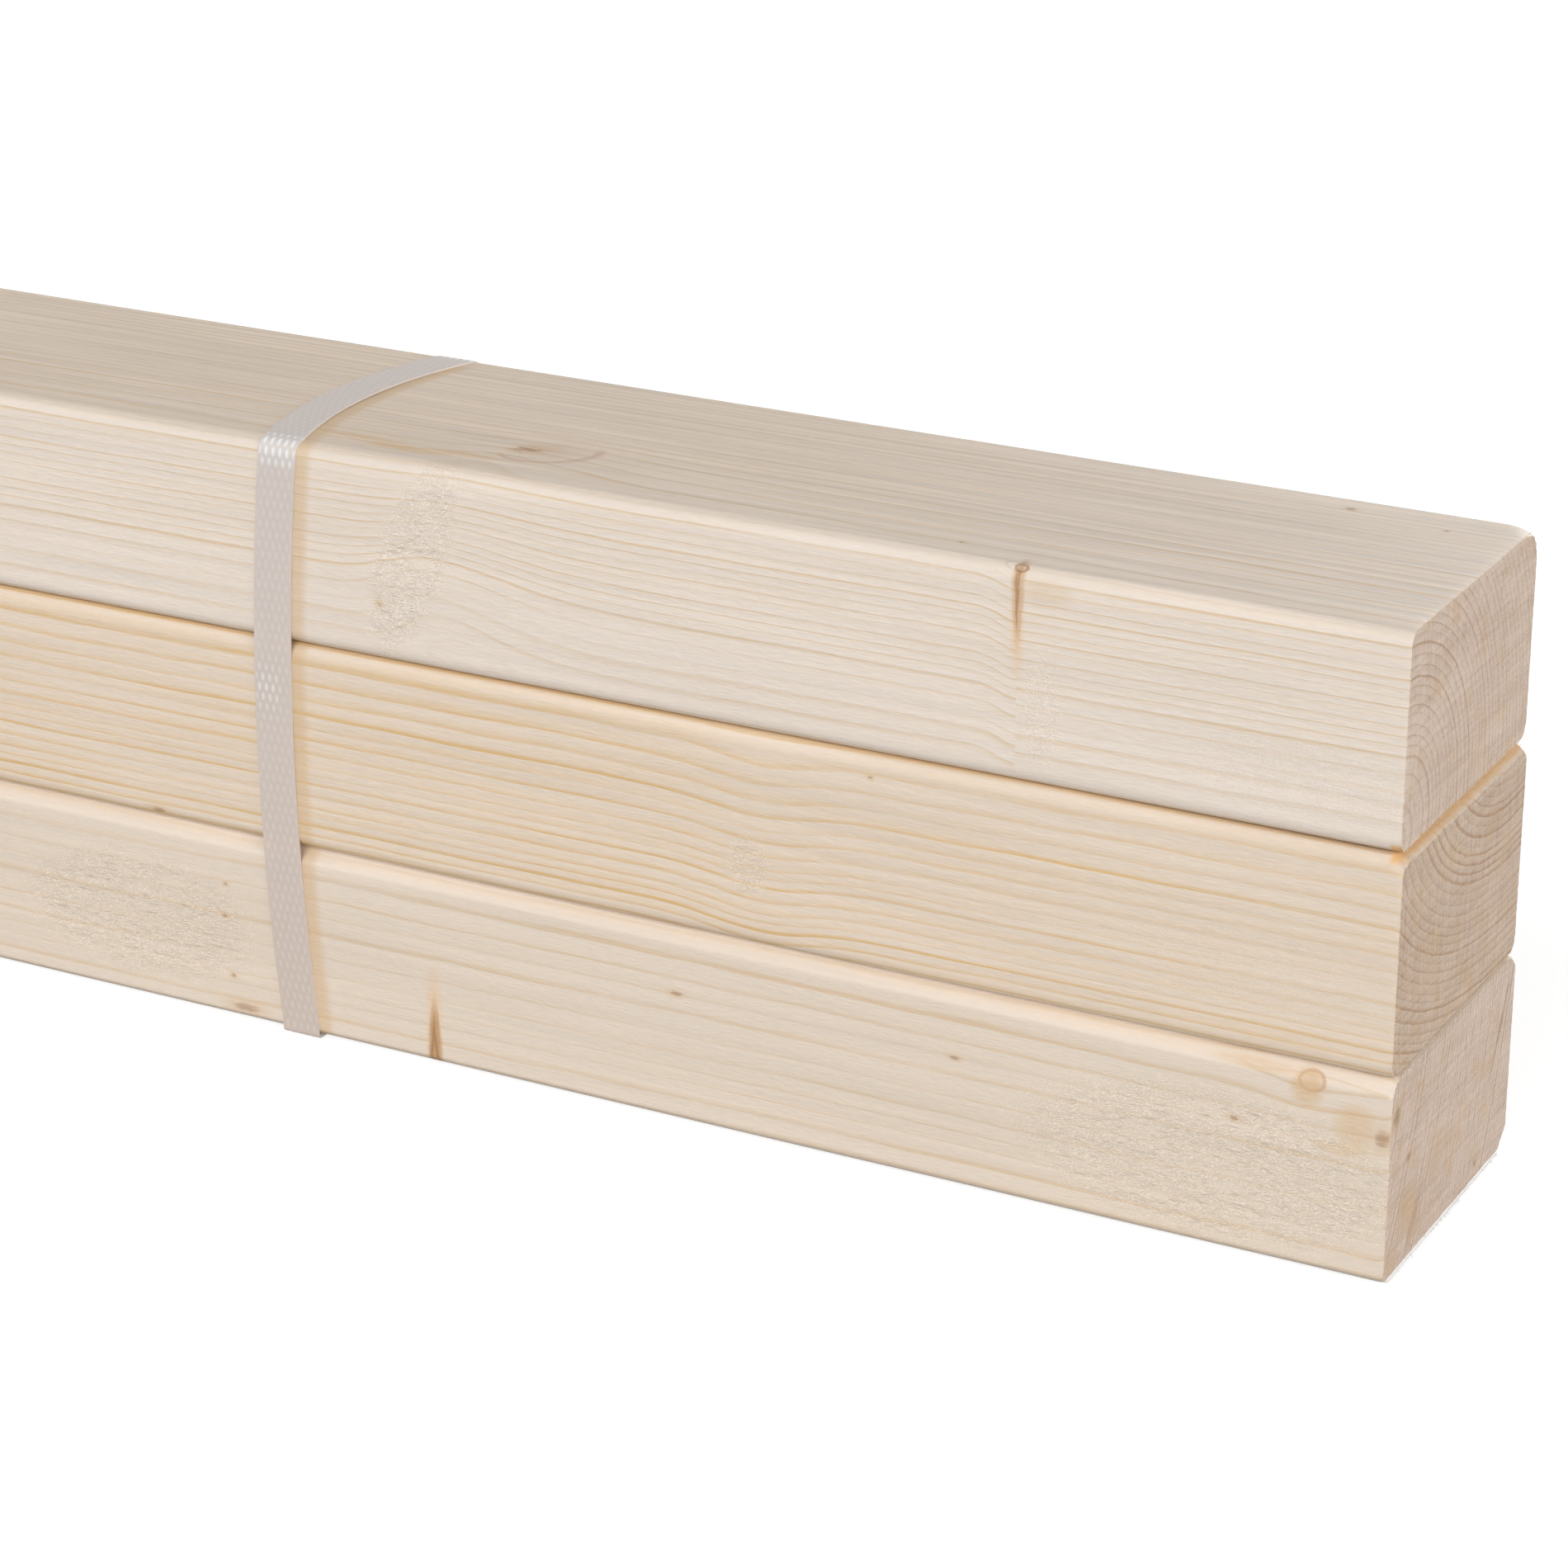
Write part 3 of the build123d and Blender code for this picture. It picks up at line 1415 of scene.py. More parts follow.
    def sawn_end(self, place: Place) -> tuple[Signal, Signal, Signal]:
        """Write the finish of the sawn ends.

        Args:
            place: The point in the wood.

        Returns:
            Colour, roughness and normal.
        """
        sheet = place.sheet
        grain = self.grain
        look = self.sawn
        late = self.rings.lay(place, grain, self.find_knots(place))
        marks = (look.streaks, look.upright, look.bands, look.pores)
        streaks, upright, bands, pores = (mark.swing(place, grain.seed) for mark in marks)
        mottle = sheet.ease(look.mottle.read(place, grain.seed), *look.mottle_edge)
        shade = streaks * look.streak_depth + upright * look.upright_depth
        shade = shade + bands * look.band_depth + pores * look.pore_depth
        wood = sheet.mix(late * look.rings - shade + look.ring_base, grain.end_early, grain.end_late)
        wood = sheet.mix(mottle * look.mottle_depth, wood, self.palette.stain_and_shade)
        wood = sheet.scale(wood, shade * look.shade_light + look.light)
        wood = self.add_specks(place, wood, grain.end_specks, pores, 0.0)
        for check in grain.checks:
            wood = sheet.mix(check.mask(place, bands, pores), wood, self.palette.spot)
        height = streaks * look.streak_height + upright * look.upright_height + pores * look.pore_height
        bump = sheet.step("ShaderNodeBump", fed={"Height": height, "Distance": 1.0 / MILLIMETRES})
        return wood, streaks * look.rough_streak + look.roughness, bump


@dataclass(frozen=True)
class FibreFinish:
    """Pale loose wood fibres, with their changes of colour to a metre."""

    pale: Colour = (0.80, 0.70, 0.58)
    amber: Colour = (0.70, 0.55, 0.39)
    clouds: float = 700.0
    roughness: float = 0.7
    gloss: float = 0.2

    def build(self) -> bpy.types.Material:
        """Make the material.

        Returns:
            The finished material.
        """
        material, sheet, shader = new_finish("loose_fibres")
        cloud = sheet.noise(sheet.scale(sheet.own_place(), self.clouds), detail=2.0)
        sheet.feed(shader.inputs["Base Color"], sheet.mix(cloud, self.pale, self.amber))
        shader.inputs["Roughness"].default_value = self.roughness
        shader.inputs["Specular IOR Level"].default_value = self.gloss
        return material


@dataclass(frozen=True)
class StrapFinish:
    """Milky embossed plastic, scuffed in clouds, warmer low down, and white where the band is marked:
    painted highlights, and at the bends also the whitening of stretched plastic.

    The height below which it is warmer and the reach of the light inside it are in metres.
    """

    colour: Colour = (0.65, 0.57, 0.52)
    scuffed: Colour = (0.68, 0.60, 0.55)
    pale: Colour = (0.90, 0.89, 0.885)
    warm: Colour = (0.60, 0.495, 0.43)
    warm_below: float = 0.12
    warmth: float = 0.8
    clouds: float = 900.0
    roughness: float = 0.38
    rough_clouds: float = 0.2
    gloss: float = 0.16
    glow: float = 0.3
    glow_colour: Colour = (1.0, 0.9, 0.8)
    glow_reach: float = 0.0012

    def build(self) -> bpy.types.Material:
        """Make the material.

        Returns:
            The finished material.
        """
        material, sheet, shader = new_finish("milky_strap")
        place = sheet.own_place()
        cloud = sheet.noise(sheet.scale(place, self.clouds), detail=2.0)
        marked = sheet.step("ShaderNodeAttribute", out=2, attribute_name=WHITENING_AND_HIGHLIGHT)
        low = sheet.ease(sheet.parts(place)[2], self.warm_below, 0.0)
        plastic = sheet.mix(low * self.warmth, sheet.mix(cloud, self.colour, self.scuffed), self.warm)
        # The mark whitens the plastic: painted highlights, with the whitening of bent plastic at the
        # corners.
        sheet.feed(shader.inputs["Base Color"], sheet.mix(marked, plastic, self.pale))
        rough = cloud * self.rough_clouds + self.roughness - self.rough_clouds / 2.0
        sheet.feed(shader.inputs["Roughness"], rough)
        shader.inputs["Specular IOR Level"].default_value = self.gloss
        shader.inputs["Subsurface Weight"].default_value = self.glow
        shader.inputs["Subsurface Radius"].default_value = self.glow_colour
        shader.inputs["Subsurface Scale"].default_value = self.glow_reach
        return material


class ShapeTree:
    """A Geometry Nodes tree with named inputs, and the means to turn it into a plain mesh."""

    def __init__(self, name: str) -> None:
        """Start an empty tree with one geometry output.

        Args:
            name: Name of the tree.
        """
        self.tree = bpy.data.node_groups.new(name, "GeometryNodeTree")
        self.sheet = Sheet(self.tree)
        self.tree.interface.new_socket("Geometry", in_out="OUTPUT", socket_type="NodeSocketGeometry")
        self.inlet = self.sheet.add("NodeGroupInput")
        self.outlet = self.sheet.add("NodeGroupOutput")
        self.identifiers: dict[str, str] = {}
        self.values: dict[str, Any] = {}

    def ask(self, name: str, value: Any) -> Signal:
        """Add a named input and the value that the modifier gives it.

        Args:
            name: Plain name of the input.
            value: A length, a count, a vector or a material.

        Returns:
            The input as a signal.
        """
        kinds = {bool: "Bool", int: "Int", float: "Float", tuple: "Vector"}
        kind = kinds.get(type(value), "Material")
        made = self.tree.interface.new_socket(name, in_out="INPUT", socket_type=f"NodeSocket{kind}")
        self.identifiers[name] = made.identifier
        self.values[name] = value
        found = [s for s in self.inlet.outputs if s.identifier == made.identifier]
        return Signal(self.sheet, found[0])

    def ask_all(self, values: dict[str, Any]) -> dict[str, Signal]:
        """Add several named inputs and give them by name."""
        return {name: self.ask(name, value) for name, value in values.items()}

    def close(self, geometry: Signal, *finishes: tuple[Signal, Signal | None]) -> None:
        """End the tree by making instances real and setting the finishes.

        Args:
            geometry: The shape so far.
            *finishes: Each finish with the faces that take it, or None for all of them.
        """
        sheet = self.sheet
        shape = sheet.step("GeometryNodeRealizeInstances", fed={"Geometry": geometry})
        for finish, faces in finishes:
            fed = {"Geometry": shape, "Material": finish}
            if faces is not None:
                fed["Selection"] = faces
            shape = sheet.step("GeometryNodeSetMaterial", fed=fed)
        sheet.feed(self.outlet.inputs[0], shape)

    def make(self, name: str) -> bpy.types.Object:
        """Evaluate the tree and keep its result as a plain mesh object.

        Args:
            name: Name of the piece.

        Returns:
            The piece, at the origin and without modifiers.
        """
        piece = bpy.data.objects.new(name, bpy.data.meshes.new(f"{name}_start"))
        bpy.context.scene.collection.objects.link(piece)
        modifier = piece.modifiers.new("shape", "NODES")
        modifier.node_group = self.tree
        for key, value in self.values.items():
            modifier[self.identifiers[key]] = value
        bpy.context.view_layer.update()
        graph = bpy.context.evaluated_depsgraph_get()
        mesh = bpy.data.meshes.new_from_object(piece.evaluated_get(graph))
        piece.modifiers.remove(modifier)
        piece.data = mesh
        mesh.name = name
        return piece


def rounded_section(
    sheet: Sheet,
    width: Signal,
    height: Signal,
    radius: Signal,
    lower: Signal | None = None,
    back: Signal | None = None,
    steps: int = 8,
) -> Signal:
    """Draw a rectangle with rounded or bevelled corners as a closed curve.

    Args:
        sheet: Where to write the nodes.
        width: Size along the curve's X.
        height: Size along the curve's Y.
        radius: Corner radius.
        lower: Radius of the lower corners, or None for the same.
        back: Radius of the lower corner at the back, or None for the same as the other.
        steps: Straight pieces in each corner, 1 for a bevel.

    Returns:
        The curve.
    """
    fed = {"Width": width, "Height": height}
    square = sheet.step("GeometryNodeCurvePrimitiveQuadrilateral", fed=fed)
    inwards, upwards, _ = sheet.parts(sheet.step("GeometryNodeInputPosition"))
    if back is not None:
        lower = lower + sheet.math("GREATER_THAN", inwards, 0.0) * (back - lower)
    if lower is not None:
        radius = lower + sheet.math("GREATER_THAN", upwards, 0.0) * (radius - lower)
    fed = {"Curve": square, "Radius": radius, "Count": steps}
    return sheet.step("GeometryNodeFilletCurve", fed=fed, mode="POLY")


@dataclass
class Batten:
    """One planed batten, swept along its length with slightly uneven faces.

    Lengths are in metres.  The upper edges, the lower front edge and the lower back edge have roundings of
    their own, in straight steps, 1 for a bevel.  Cross sections crowd towards the ends.  The wander and the
    ragged cells are counted to a metre.

    The rim is the worn edge of both sawn ends.  At the near end, the snipe is where the planer dug into the
    top, the chip is its broken edge and the knock its worn back corner, each with its reach.  Breaks are a
    gain and an offset for raggedness.  A worn top or back sets in over a share of half the height or depth.
    The undercut is planed off the underside.

    Attributes:
        node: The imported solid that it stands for.
        grain: How it was cut from its tree.
    """

    node: str
    grain: Grain
    edge_radius: float = 0.003
    lower_radius: float = 0.003
    back_radius: float = 0.003
    edge_steps: int = 8
    stations: int = 160
    section_step: float = 0.0006
    crowding: float = 2.2
    unevenness: float = 0.00016
    wander_along: float = 24.0
    wander_across: float = 70.0
    ragged_cells: float = 900.0
    rim_wear: float = 0.0003
    rim_reach: float = 0.0013
    rim_breaks: tuple[float, float] = (3.0, -0.6)
    snipe: float = 0.0
    snipe_reach: float = 0.11
    chip: float = 0.0
    chip_reach: float = 0.0024
    chip_breaks: tuple[float, float] = (0.8, 0.6)
    knock: float = 0.0
    knock_reach: float = 0.0055
    top_share: Ramp = (0.6, 1.0)
    back_share: Ramp = (0.75, 1.0)
    undercut: float = 0.0
    sawn_facing: float = 0.8

    def build(self) -> bpy.types.Object:
        """Sweep the batten and put it in place of its solid.

        Returns:
            The finished piece.
        """
        low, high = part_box(self.node)
        size = high - low
        finish = SpruceFinish(self.grain)
        shape = ShapeTree(f"{self.node}_shape")
        sheet = shape.sheet
        given = shape.ask_all({
            "Length": float(size.x),
            "Depth": float(size.y),
            "Height": float(size.z),
            "Edge Radius": self.edge_radius,
            "Lower Edge Radius": self.lower_radius,
            "Back Edge Radius": self.back_radius,
            "Stations": self.stations,
            "Section Step": self.section_step,
            "Unevenness": self.unevenness,
            "Crowding": self.crowding,
            "Rim Wear": self.rim_wear,
            "Rim Reach": self.rim_reach,
            "Snipe": self.snipe,
            "Snipe Reach": self.snipe_reach,
            "Chip": self.chip,
            "Chip Reach": self.chip_reach,
            "Knock": self.knock,
            "Knock Reach": self.knock_reach,
            "Undercut": self.undercut,
            "Seed": self.grain.seed,
            "Centre": tuple((low + high) / 2.0),
            "Long Face Finish": finish.build(Cut.ALONG),
            "Sawn End Finish": finish.build(Cut.ACROSS),
        })
        swept = self.plane(sheet, self.sweep(sheet, given), given)
        fed = {"Geometry": swept, "Translation": given["Centre"]}
        placed = sheet.step("GeometryNodeTransform", fed=fed)
        facing = sheet.parts(sheet.step("GeometryNodeInputNormal"))
        sawn = sheet.math("GREATER_THAN", sheet.math("ABSOLUTE", facing[0]), self.sawn_facing)
        fed = {"Geometry": placed, "Selection": 1.0 - sawn, "Shade Smooth": True}
        smooth = sheet.step("GeometryNodeSetShadeSmooth", fed=fed)
        shape.close(smooth, (given["Long Face Finish"], None), (given["Sawn End Finish"], sawn))
        piece = shape.make(self.node + "_wood")
        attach(piece, BODY)
        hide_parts(self.node)
        return piece

    def sweep(self, sheet: Sheet, given: dict[str, Signal]) -> Signal:
        """Sweep the section along the batten.

        Args:
            sheet: Where to write the nodes.
            given: The tree's inputs by name.

        Returns:
            The plain swept batten about the origin.
        """
        half = given["Length"] * 0.5
        fed = {"Start": sheet.vector(-half, 0.0, 0.0), "End": sheet.vector(half, 0.0, 0.0)}
        path = sheet.step("GeometryNodeCurvePrimitiveLine", fed=fed)
        path = sheet.step("GeometryNodeResampleCurve", fed={"Curve": path, "Count": given["Stations"]})
        radii = [given[name] for name in ("Edge Radius", "Lower Edge Radius", "Back Edge Radius")]
        section = rounded_section(sheet, given["Depth"], given["Height"], *radii, self.edge_steps)
        fed = {"Geometry": section, "Rotation": (0.0, 0.0, math.pi)}
        section = sheet.step("GeometryNodeTransform", fed=fed)
        fed = {"Curve": section, "Length": given["Section Step"]}
        section = sheet.step("GeometryNodeResampleCurve", fed=fed, mode="LENGTH")
        fed = {"Curve": path, "Profile Curve": section, "Fill Caps": True}
        return sheet.step("GeometryNodeCurveToMesh", fed=fed)

    def plane(self, sheet: Sheet, swept: Signal, given: dict[str, Signal]) -> Signal:
        """Move the swept surface a little, as planing and sawing leave it.

        Args:
            sheet: Where to write the nodes.
            swept: The swept batten.
            given: The tree's inputs by name.

        Returns:
            The moved surface.
        """
        half, half_depth, half_height = (given[name] * 0.5 for name in ("Length", "Depth", "Height"))
        x, y, z = sheet.parts(sheet.step("GeometryNodeInputPosition"))
        part = x / half
        short = sheet.math("MAXIMUM", 1.0 - sheet.math("ABSOLUTE", part), 0.0)
        from_end = sheet.math("POWER", short, given["Crowding"]) * half
        x = sheet.math("SIGN", part) * (half - from_end)
        along = x * self.wander_along + given["Seed"]
        cells = sheet.vector(along, y * self.wander_across, z * self.wander_across)
        _, wander_y, wander_z = sheet.three_noises(cells)
        cells = sheet.vector(given["Seed"], y * self.ragged_cells, z * self.ragged_cells)
        ragged = sheet.noise(cells, detail=2.0)
        rim = sheet.math("MAXIMUM", 1.0 - from_end / given["Rim Reach"], 0.0)
        inset = rim * rim * given["Rim Wear"] * (ragged * self.rim_breaks[0] + self.rim_breaks[1])
        inset = sheet.math("MAXIMUM", inset, 0.0)
        new_y = y * (1.0 - inset / half_depth) + (wander_y - 0.5) * given["Unevenness"]
        new_z = z * (1.0 - inset / half_height) + (wander_z - 0.5) * given["Unevenness"]
        sniped, broken, worn = (
            sheet.math("MAXIMUM", (x - half + given[name]) / given[name], 0.0)
            for name in ("Snipe Reach", "Chip Reach", "Knock Reach")
        )
        up = sheet.math("MAXIMUM", z / half_height, 0.0)
        down = sheet.math("MAXIMUM", -(z / half_height), 0.0)
        top = sheet.ease(up, *self.top_share)
        new_z = new_z - given["Snipe"] * sniped * sniped * up
        new_z = new_z - given["Chip"] * broken * top * (ragged * self.chip_breaks[0] + self.chip_breaks[1])
        knocked = given["Knock"] * worn * worn * (top * sheet.ease(y / half_depth, *self.back_share))
        new_z = new_z - knocked + given["Undercut"] * down
        fed = {"Geometry": swept, "Position": sheet.vector(x, new_y - knocked, new_z)}
        return sheet.step("GeometryNodeSetPosition", fed=fed)


@dataclass
class EndFibres:
    """Loose fibres that the saw left round the ends of one batten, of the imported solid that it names.

    Lengths are in metres.  The fibres start a little inside the outline and point forward and outwards,
    with a spread of directions.  Long ones are rare, and the back edge has none, beyond a share of the
    depth behind the middle.  The draws space the random seeds.
    """

    node: str
    seed: int
    count: int = 320
    sides: int = 4
    thickness: float = 0.00011
    shortest: float = 0.0004
    extra: float = 0.0006
    rarity: float = 5.0
    inset: float = 0.0002
    edge_radius: float = 0.003
    forward: float = 0.3
    spread: float = 0.8
    front_share: float = 0.44
    draws: float = 7.0

    def build(self, finish: bpy.types.Material) -> bpy.types.Object:
        """Scatter the fibres round both ends.

        Args:
            finish: The fibres' material.

        Returns:
            The finished piece.
        """
        low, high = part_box(self.node)
        size = high - low
        shape = ShapeTree(f"{self.node}_fibre_shape")
        sheet = shape.sheet
        given = shape.ask_all({
            "Length": float(size.x),
            "Depth": float(size.y - 2.0 * self.inset),
            "Height": float(size.z - 2.0 * self.inset),
            "Edge Radius": self.edge_radius,
            "Fibres": self.count,
            "Thickness": self.thickness,
            "Shortest": self.shortest,
            "Extra Length": self.extra,
            "Seed": self.seed,
            "Centre": tuple((low + high) / 2.0),
            "Finish": finish,
        })
        outline = rounded_section(sheet, given["Depth"], given["Height"], given["Edge Radius"])
        outline = sheet.step("GeometryNodeResampleCurve", fed={"Curve": outline, "Count": given["Fibres"]})
        points = sheet.step("GeometryNodeCurveToPoints", fed={"Curve": outline}, mode="EVALUATED")
        fed = {"Vertices": self.sides, "Radius Top": 0.0, "Radius Bottom": 1.0, "Depth": 1.0}
        sliver = sheet.step("GeometryNodeMeshCone", fed=fed)
        ends = sheet.add("GeometryNodeJoinGeometry")
        for end in BundleEnd:
            sheet.feed(ends.inputs["Geometry"], self.scatter(sheet, given, points, sliver, end))
        fed = {"Geometry": Signal(sheet, ends.outputs[0]), "Translation": given["Centre"]}
        shape.close(sheet.step("GeometryNodeTransform", fed=fed), (given["Finish"], None))
        piece = shape.make(self.node + "_fibres")
        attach(piece, BODY)
        return piece

    def scatter(
        self, sheet: Sheet, given: dict[str, Signal], points: Signal, sliver: Signal, end: BundleEnd
    ) -> Signal:
        """Put the fibres round one end.

        Args:
            sheet: Where to write the nodes.
            given: The tree's inputs by name.
            points: Points round the batten's outline.
            sliver: A fibre of unit size.
            end: The end.

        Returns:
            The fibres as instances.
        """
        y, z, _ = sheet.parts(sheet.step("GeometryNodeInputPosition"))
        place = sheet.vector(given["Length"] * (0.5 * end.value), y, z)
        moved = sheet.step("GeometryNodeSetPosition", fed={"Geometry": points, "Position": place})
        _, here_y, here_z = sheet.parts(sheet.step("GeometryNodeInputPosition"))
        first = (given["Seed"] + end.value) * self.draws
        ahead, inwards, upwards, luck = (self.roll(sheet, first + number) for number in range(4))
        aim = sheet.vector(
            (ahead * self.spread + self.forward) * end.value,
            here_y / given["Depth"] + inwards * self.spread - self.spread / 2.0,
            here_z / given["Height"] + upwards * self.spread - self.spread / 2.0,
        )
        turned = sheet.step("FunctionNodeAlignRotationToVector", fed={"Vector": aim}, axis="Z")
        long = sheet.math("POWER", luck, self.rarity) * given["Extra Length"] + given["Shortest"]
        fed = {
            "Points": moved,
            "Instance": sliver,
            "Rotation": turned,
            "Selection": sheet.math("LESS_THAN", here_y, given["Depth"] * self.front_share),
            "Scale": sheet.vector(given["Thickness"], given["Thickness"], long),
        }
        return sheet.step("GeometryNodeInstanceOnPoints", fed=fed)

    @staticmethod
    def roll(sheet: Sheet, seed: Signal) -> Signal:
        """Give each fibre a fixed random number.

        Args:
            sheet: Where to write the nodes.
            seed: Seed of the draw.

        Returns:
            A signal from 0 to 1.
        """
        node = sheet.add("FunctionNodeRandomValue", data_type="FLOAT")
        seeds = [socket for socket in node.inputs if socket.name == "Seed"]
        sheet.feed(seeds[0], seed)
        shown = [socket for socket in node.outputs if socket.enabled]
        return Signal(sheet, shown[0])


@dataclass
class Strap:
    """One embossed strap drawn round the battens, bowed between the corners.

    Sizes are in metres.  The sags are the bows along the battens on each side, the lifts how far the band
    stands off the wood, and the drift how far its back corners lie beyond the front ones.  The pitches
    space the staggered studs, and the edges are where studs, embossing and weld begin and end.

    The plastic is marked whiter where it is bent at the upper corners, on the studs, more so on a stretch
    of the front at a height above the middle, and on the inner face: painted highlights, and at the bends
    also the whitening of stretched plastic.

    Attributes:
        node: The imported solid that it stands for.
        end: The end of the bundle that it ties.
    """

    node: str
    end: BundleEnd
    width: float = 0.009
    thickness: float = 0.00032
    corner_radius: float = 0.003
    lower_radius: float = 0.0005
    front_sag: float = 0.0034
    top_sag: float = 0.005
    back_sag: float = 0.0016
    under_sag: float = 0.0022
    drift: float = 0.0016
    front_lift: float = 0.00005
    top_lift: float = 0.0002
    back_lift: float = 0.00015
    row_pitch: float = 0.0045
    column_pitch: float = 0.00168
    relief: float = 0.00005
    stud_edge: Ramp = (0.15, 0.7)
    rim_edge: Ramp = (0.98, 0.7)
    weld: float = 0.038
    weld_edge: Ramp = (0.505, 0.495)
    weld_least: float = 0.001
    bend: Ramp = (0.12, 0.0)
    bend_studs: float = 0.75
    bend_whitening_and_highlight: float = 0.2
    scuff_height: float = 0.012
    scuff_reach: float = 0.0045
    scuff_side: float = 0.3
    scuff_studs: float = 0.5
    stud_highlight: float = 0.18
    inner_highlight: float = 0.6
    flat_facing: float = 0.75
    merge: float = 0.000002
    steps_along: int = 1400
    steps_across: int = 32
    inner_points: float = 3.0

    def build(self, finish: bpy.types.Material) -> bpy.types.Object:
        """Wrap the band and put it in place of its solid.

        Args:
            finish: The strap's material.

        Returns:
            The finished piece.
        """
        shape = ShapeTree(f"{self.node}_shape")
        sheet = shape.sheet
        given = self.ask_sizes(shape, finish)
        grid, around, across, inner = self.unroll(sheet, given)
        place, pale = self.wrap(sheet, given, around, across, inner)
        fed = {"Geometry": grid, "Name": WHITENING_AND_HIGHLIGHT, "Value": pale}
        marked = sheet.step("GeometryNodeStoreNamedAttribute", fed=fed, data_type="FLOAT", domain="POINT")
        wrapped = sheet.step("GeometryNodeSetPosition", fed={"Geometry": marked, "Position": place})
        fed = {"Geometry": wrapped, "Distance": self.merge}
        closed = sheet.step("GeometryNodeMergeByDistance", fed=fed)
        fed = {"Geometry": closed, "Translation": given["Centre"]}
        placed = sheet.step("GeometryNodeTransform", fed=fed)
        sideways = sheet.math("ABSOLUTE", sheet.parts(sheet.step("GeometryNodeInputNormal"))[0])
        flat = sheet.math("LESS_THAN", sideways, self.flat_facing)
        smooth = sheet.step("GeometryNodeSetShadeSmooth", fed={"Geometry": placed, "Shade Smooth": flat})
        shape.close(smooth, (given["Finish"], None))
        piece = shape.make(self.node + "_band")
        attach(piece, BODY)
        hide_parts(self.node)
        return piece

    def ask_sizes(self, shape: ShapeTree, finish: bpy.types.Material) -> dict[str, Signal]:
        """Add the tree's inputs.

        Args:
            shape: The tree.
            finish: The strap's material.

        Returns:
            The inputs by name.
        """
        low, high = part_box(self.node)
        wood_low, wood_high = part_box(MIDDLE_NODE)
        top_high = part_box(TOP_NODE)[1]
        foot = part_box(BOTTOM_NODE)[0]
        corner_x = high.x - self.drift - self.width / 2.0
        if self.end is BundleEnd.FAR:
            corner_x = low.x + self.drift + self.width / 2.0
        return shape.ask_all({
            "Depth": float(wood_high.y - wood_low.y),
            "Height": float(top_high.z - foot.z),
            "Corner Radius": self.corner_radius,
            "Lower Corner Radius": self.lower_radius,
            "Width": self.width,
            "Thickness": self.thickness,
            "Front Sag": self.front_sag,
            "Back Sag": self.back_sag,
            "Top Sag": self.top_sag,
            "Under Sag": self.under_sag,
            "Drift": self.drift,
            "Front Lift": self.front_lift,
            "Back Lift": self.back_lift,
            "Top Lift": self.top_lift,
            "Row Pitch": self.row_pitch,
            "Column Pitch": self.column_pitch,
            "Relief": self.relief,
            "Weld Length": self.weld,
            "Scuff Height": self.scuff_height,
            "Scuff Reach": self.scuff_reach,
            "Cells Along": self.steps_along,
            "Cells Across": self.steps_across,
            "Towards": self.end.value,
            "Centre": (corner_x, (wood_low.y + wood_high.y) / 2.0, (foot.z + top_high.z) / 2.0),
            "Finish": finish,
        })

    def unroll(self, sheet: Sheet, given: dict[str, Signal]) -> tuple[Signal, Signal, Signal, Signal]:
        """Lay out the band's outer face, edges and inner face as one flat grid.

        Args:
            sheet: Where to write the nodes.
            given: The tree's inputs by name.

        Returns:
            The grid, the share of the way round, the way across in metres, and 1 on the inner face.
        """
        across_count = given["Cells Across"]
        last = across_count + 1.0 + self.inner_points
        fed = {"Vertices X": given["Cells Along"] + 1.0, "Vertices Y": last + 1.0}
        grid = sheet.step("GeometryNodeMeshGrid", fed={"Size X": 1.0, "Size Y": 1.0, **fed})
        u, v, _ = sheet.parts(sheet.step("GeometryNodeInputPosition"))
        index = sheet.math("ROUND", (v + 0.5) * last)
        inner = sheet.math("GREATER_THAN", index, across_count + 0.5)
        inner = inner * sheet.math("LESS_THAN", index, last - 0.5)
        back_again = sheet.math("GREATER_THAN", index, last - 0.5)
        outer_share = index / across_count * (1.0 - back_again)
        inner_share = 1.0 - (index - across_count - 1.0) / (self.inner_points - 1.0)
        share = outer_share * (1.0 - inner) + inner_share * inner
        return grid, u + 0.5, (share - 0.5) * given["Width"], inner

    def wrap(
        self, sheet: Sheet, given: dict[str, Signal], around: Signal, across: Signal, inner: Signal
    ) -> tuple[Signal, Signal]:
        """Lead the flat grid round the battens.

        Args:
            sheet: Where to write the nodes.
            given: The tree's inputs by name.
            around: Share of the way round.
            across: Way across the band, in metres.
            inner: 1 on the inner face.

        Returns:
            The place of each point, and how much whiter the plastic is painted there as a highlight, at the
            bends also for stretched plastic.
        """
        radii = [given[name] for name in ("Corner Radius", "Lower Corner Radius")]
        loop = rounded_section(sheet, given["Depth"], given["Height"], *radii)
        sampler = sheet.add("GeometryNodeSampleCurve", mode="FACTOR", use_all_curves=True)
        sheet.feed(sampler.inputs["Curves"], loop)
        sheet.feed(sampler.inputs["Factor"], around)
        by_name = {socket.name: Signal(sheet, socket) for socket in sampler.outputs}
        y, z, _ = sheet.parts(by_name["Position"])
        tangent_y, tangent_z, _ = sheet.parts(by_name["Tangent"])
        half_y = given["Depth"] * 0.5 - radii[0]
        half_z = given["Height"] * 0.5 - radii[0]
        upright = sheet.hump(z / half_z)
        level = sheet.hump(y / half_y)
        behind = sheet.math("GREATER_THAN", y, 0.0)
        above = sheet.math("GREATER_THAN", z, 0.0)
        bow = upright * (given["Front Sag"] * (1.0 - behind) + given["Back Sag"] * behind)
        bow = bow + level * (given["Top Sag"] * above + given["Under Sag"] * (1.0 - above))
        lift = upright * (given["Front Lift"] * (1.0 - behind) + given["Back Lift"] * behind)
        lift = lift + level * above * given["Top Lift"]
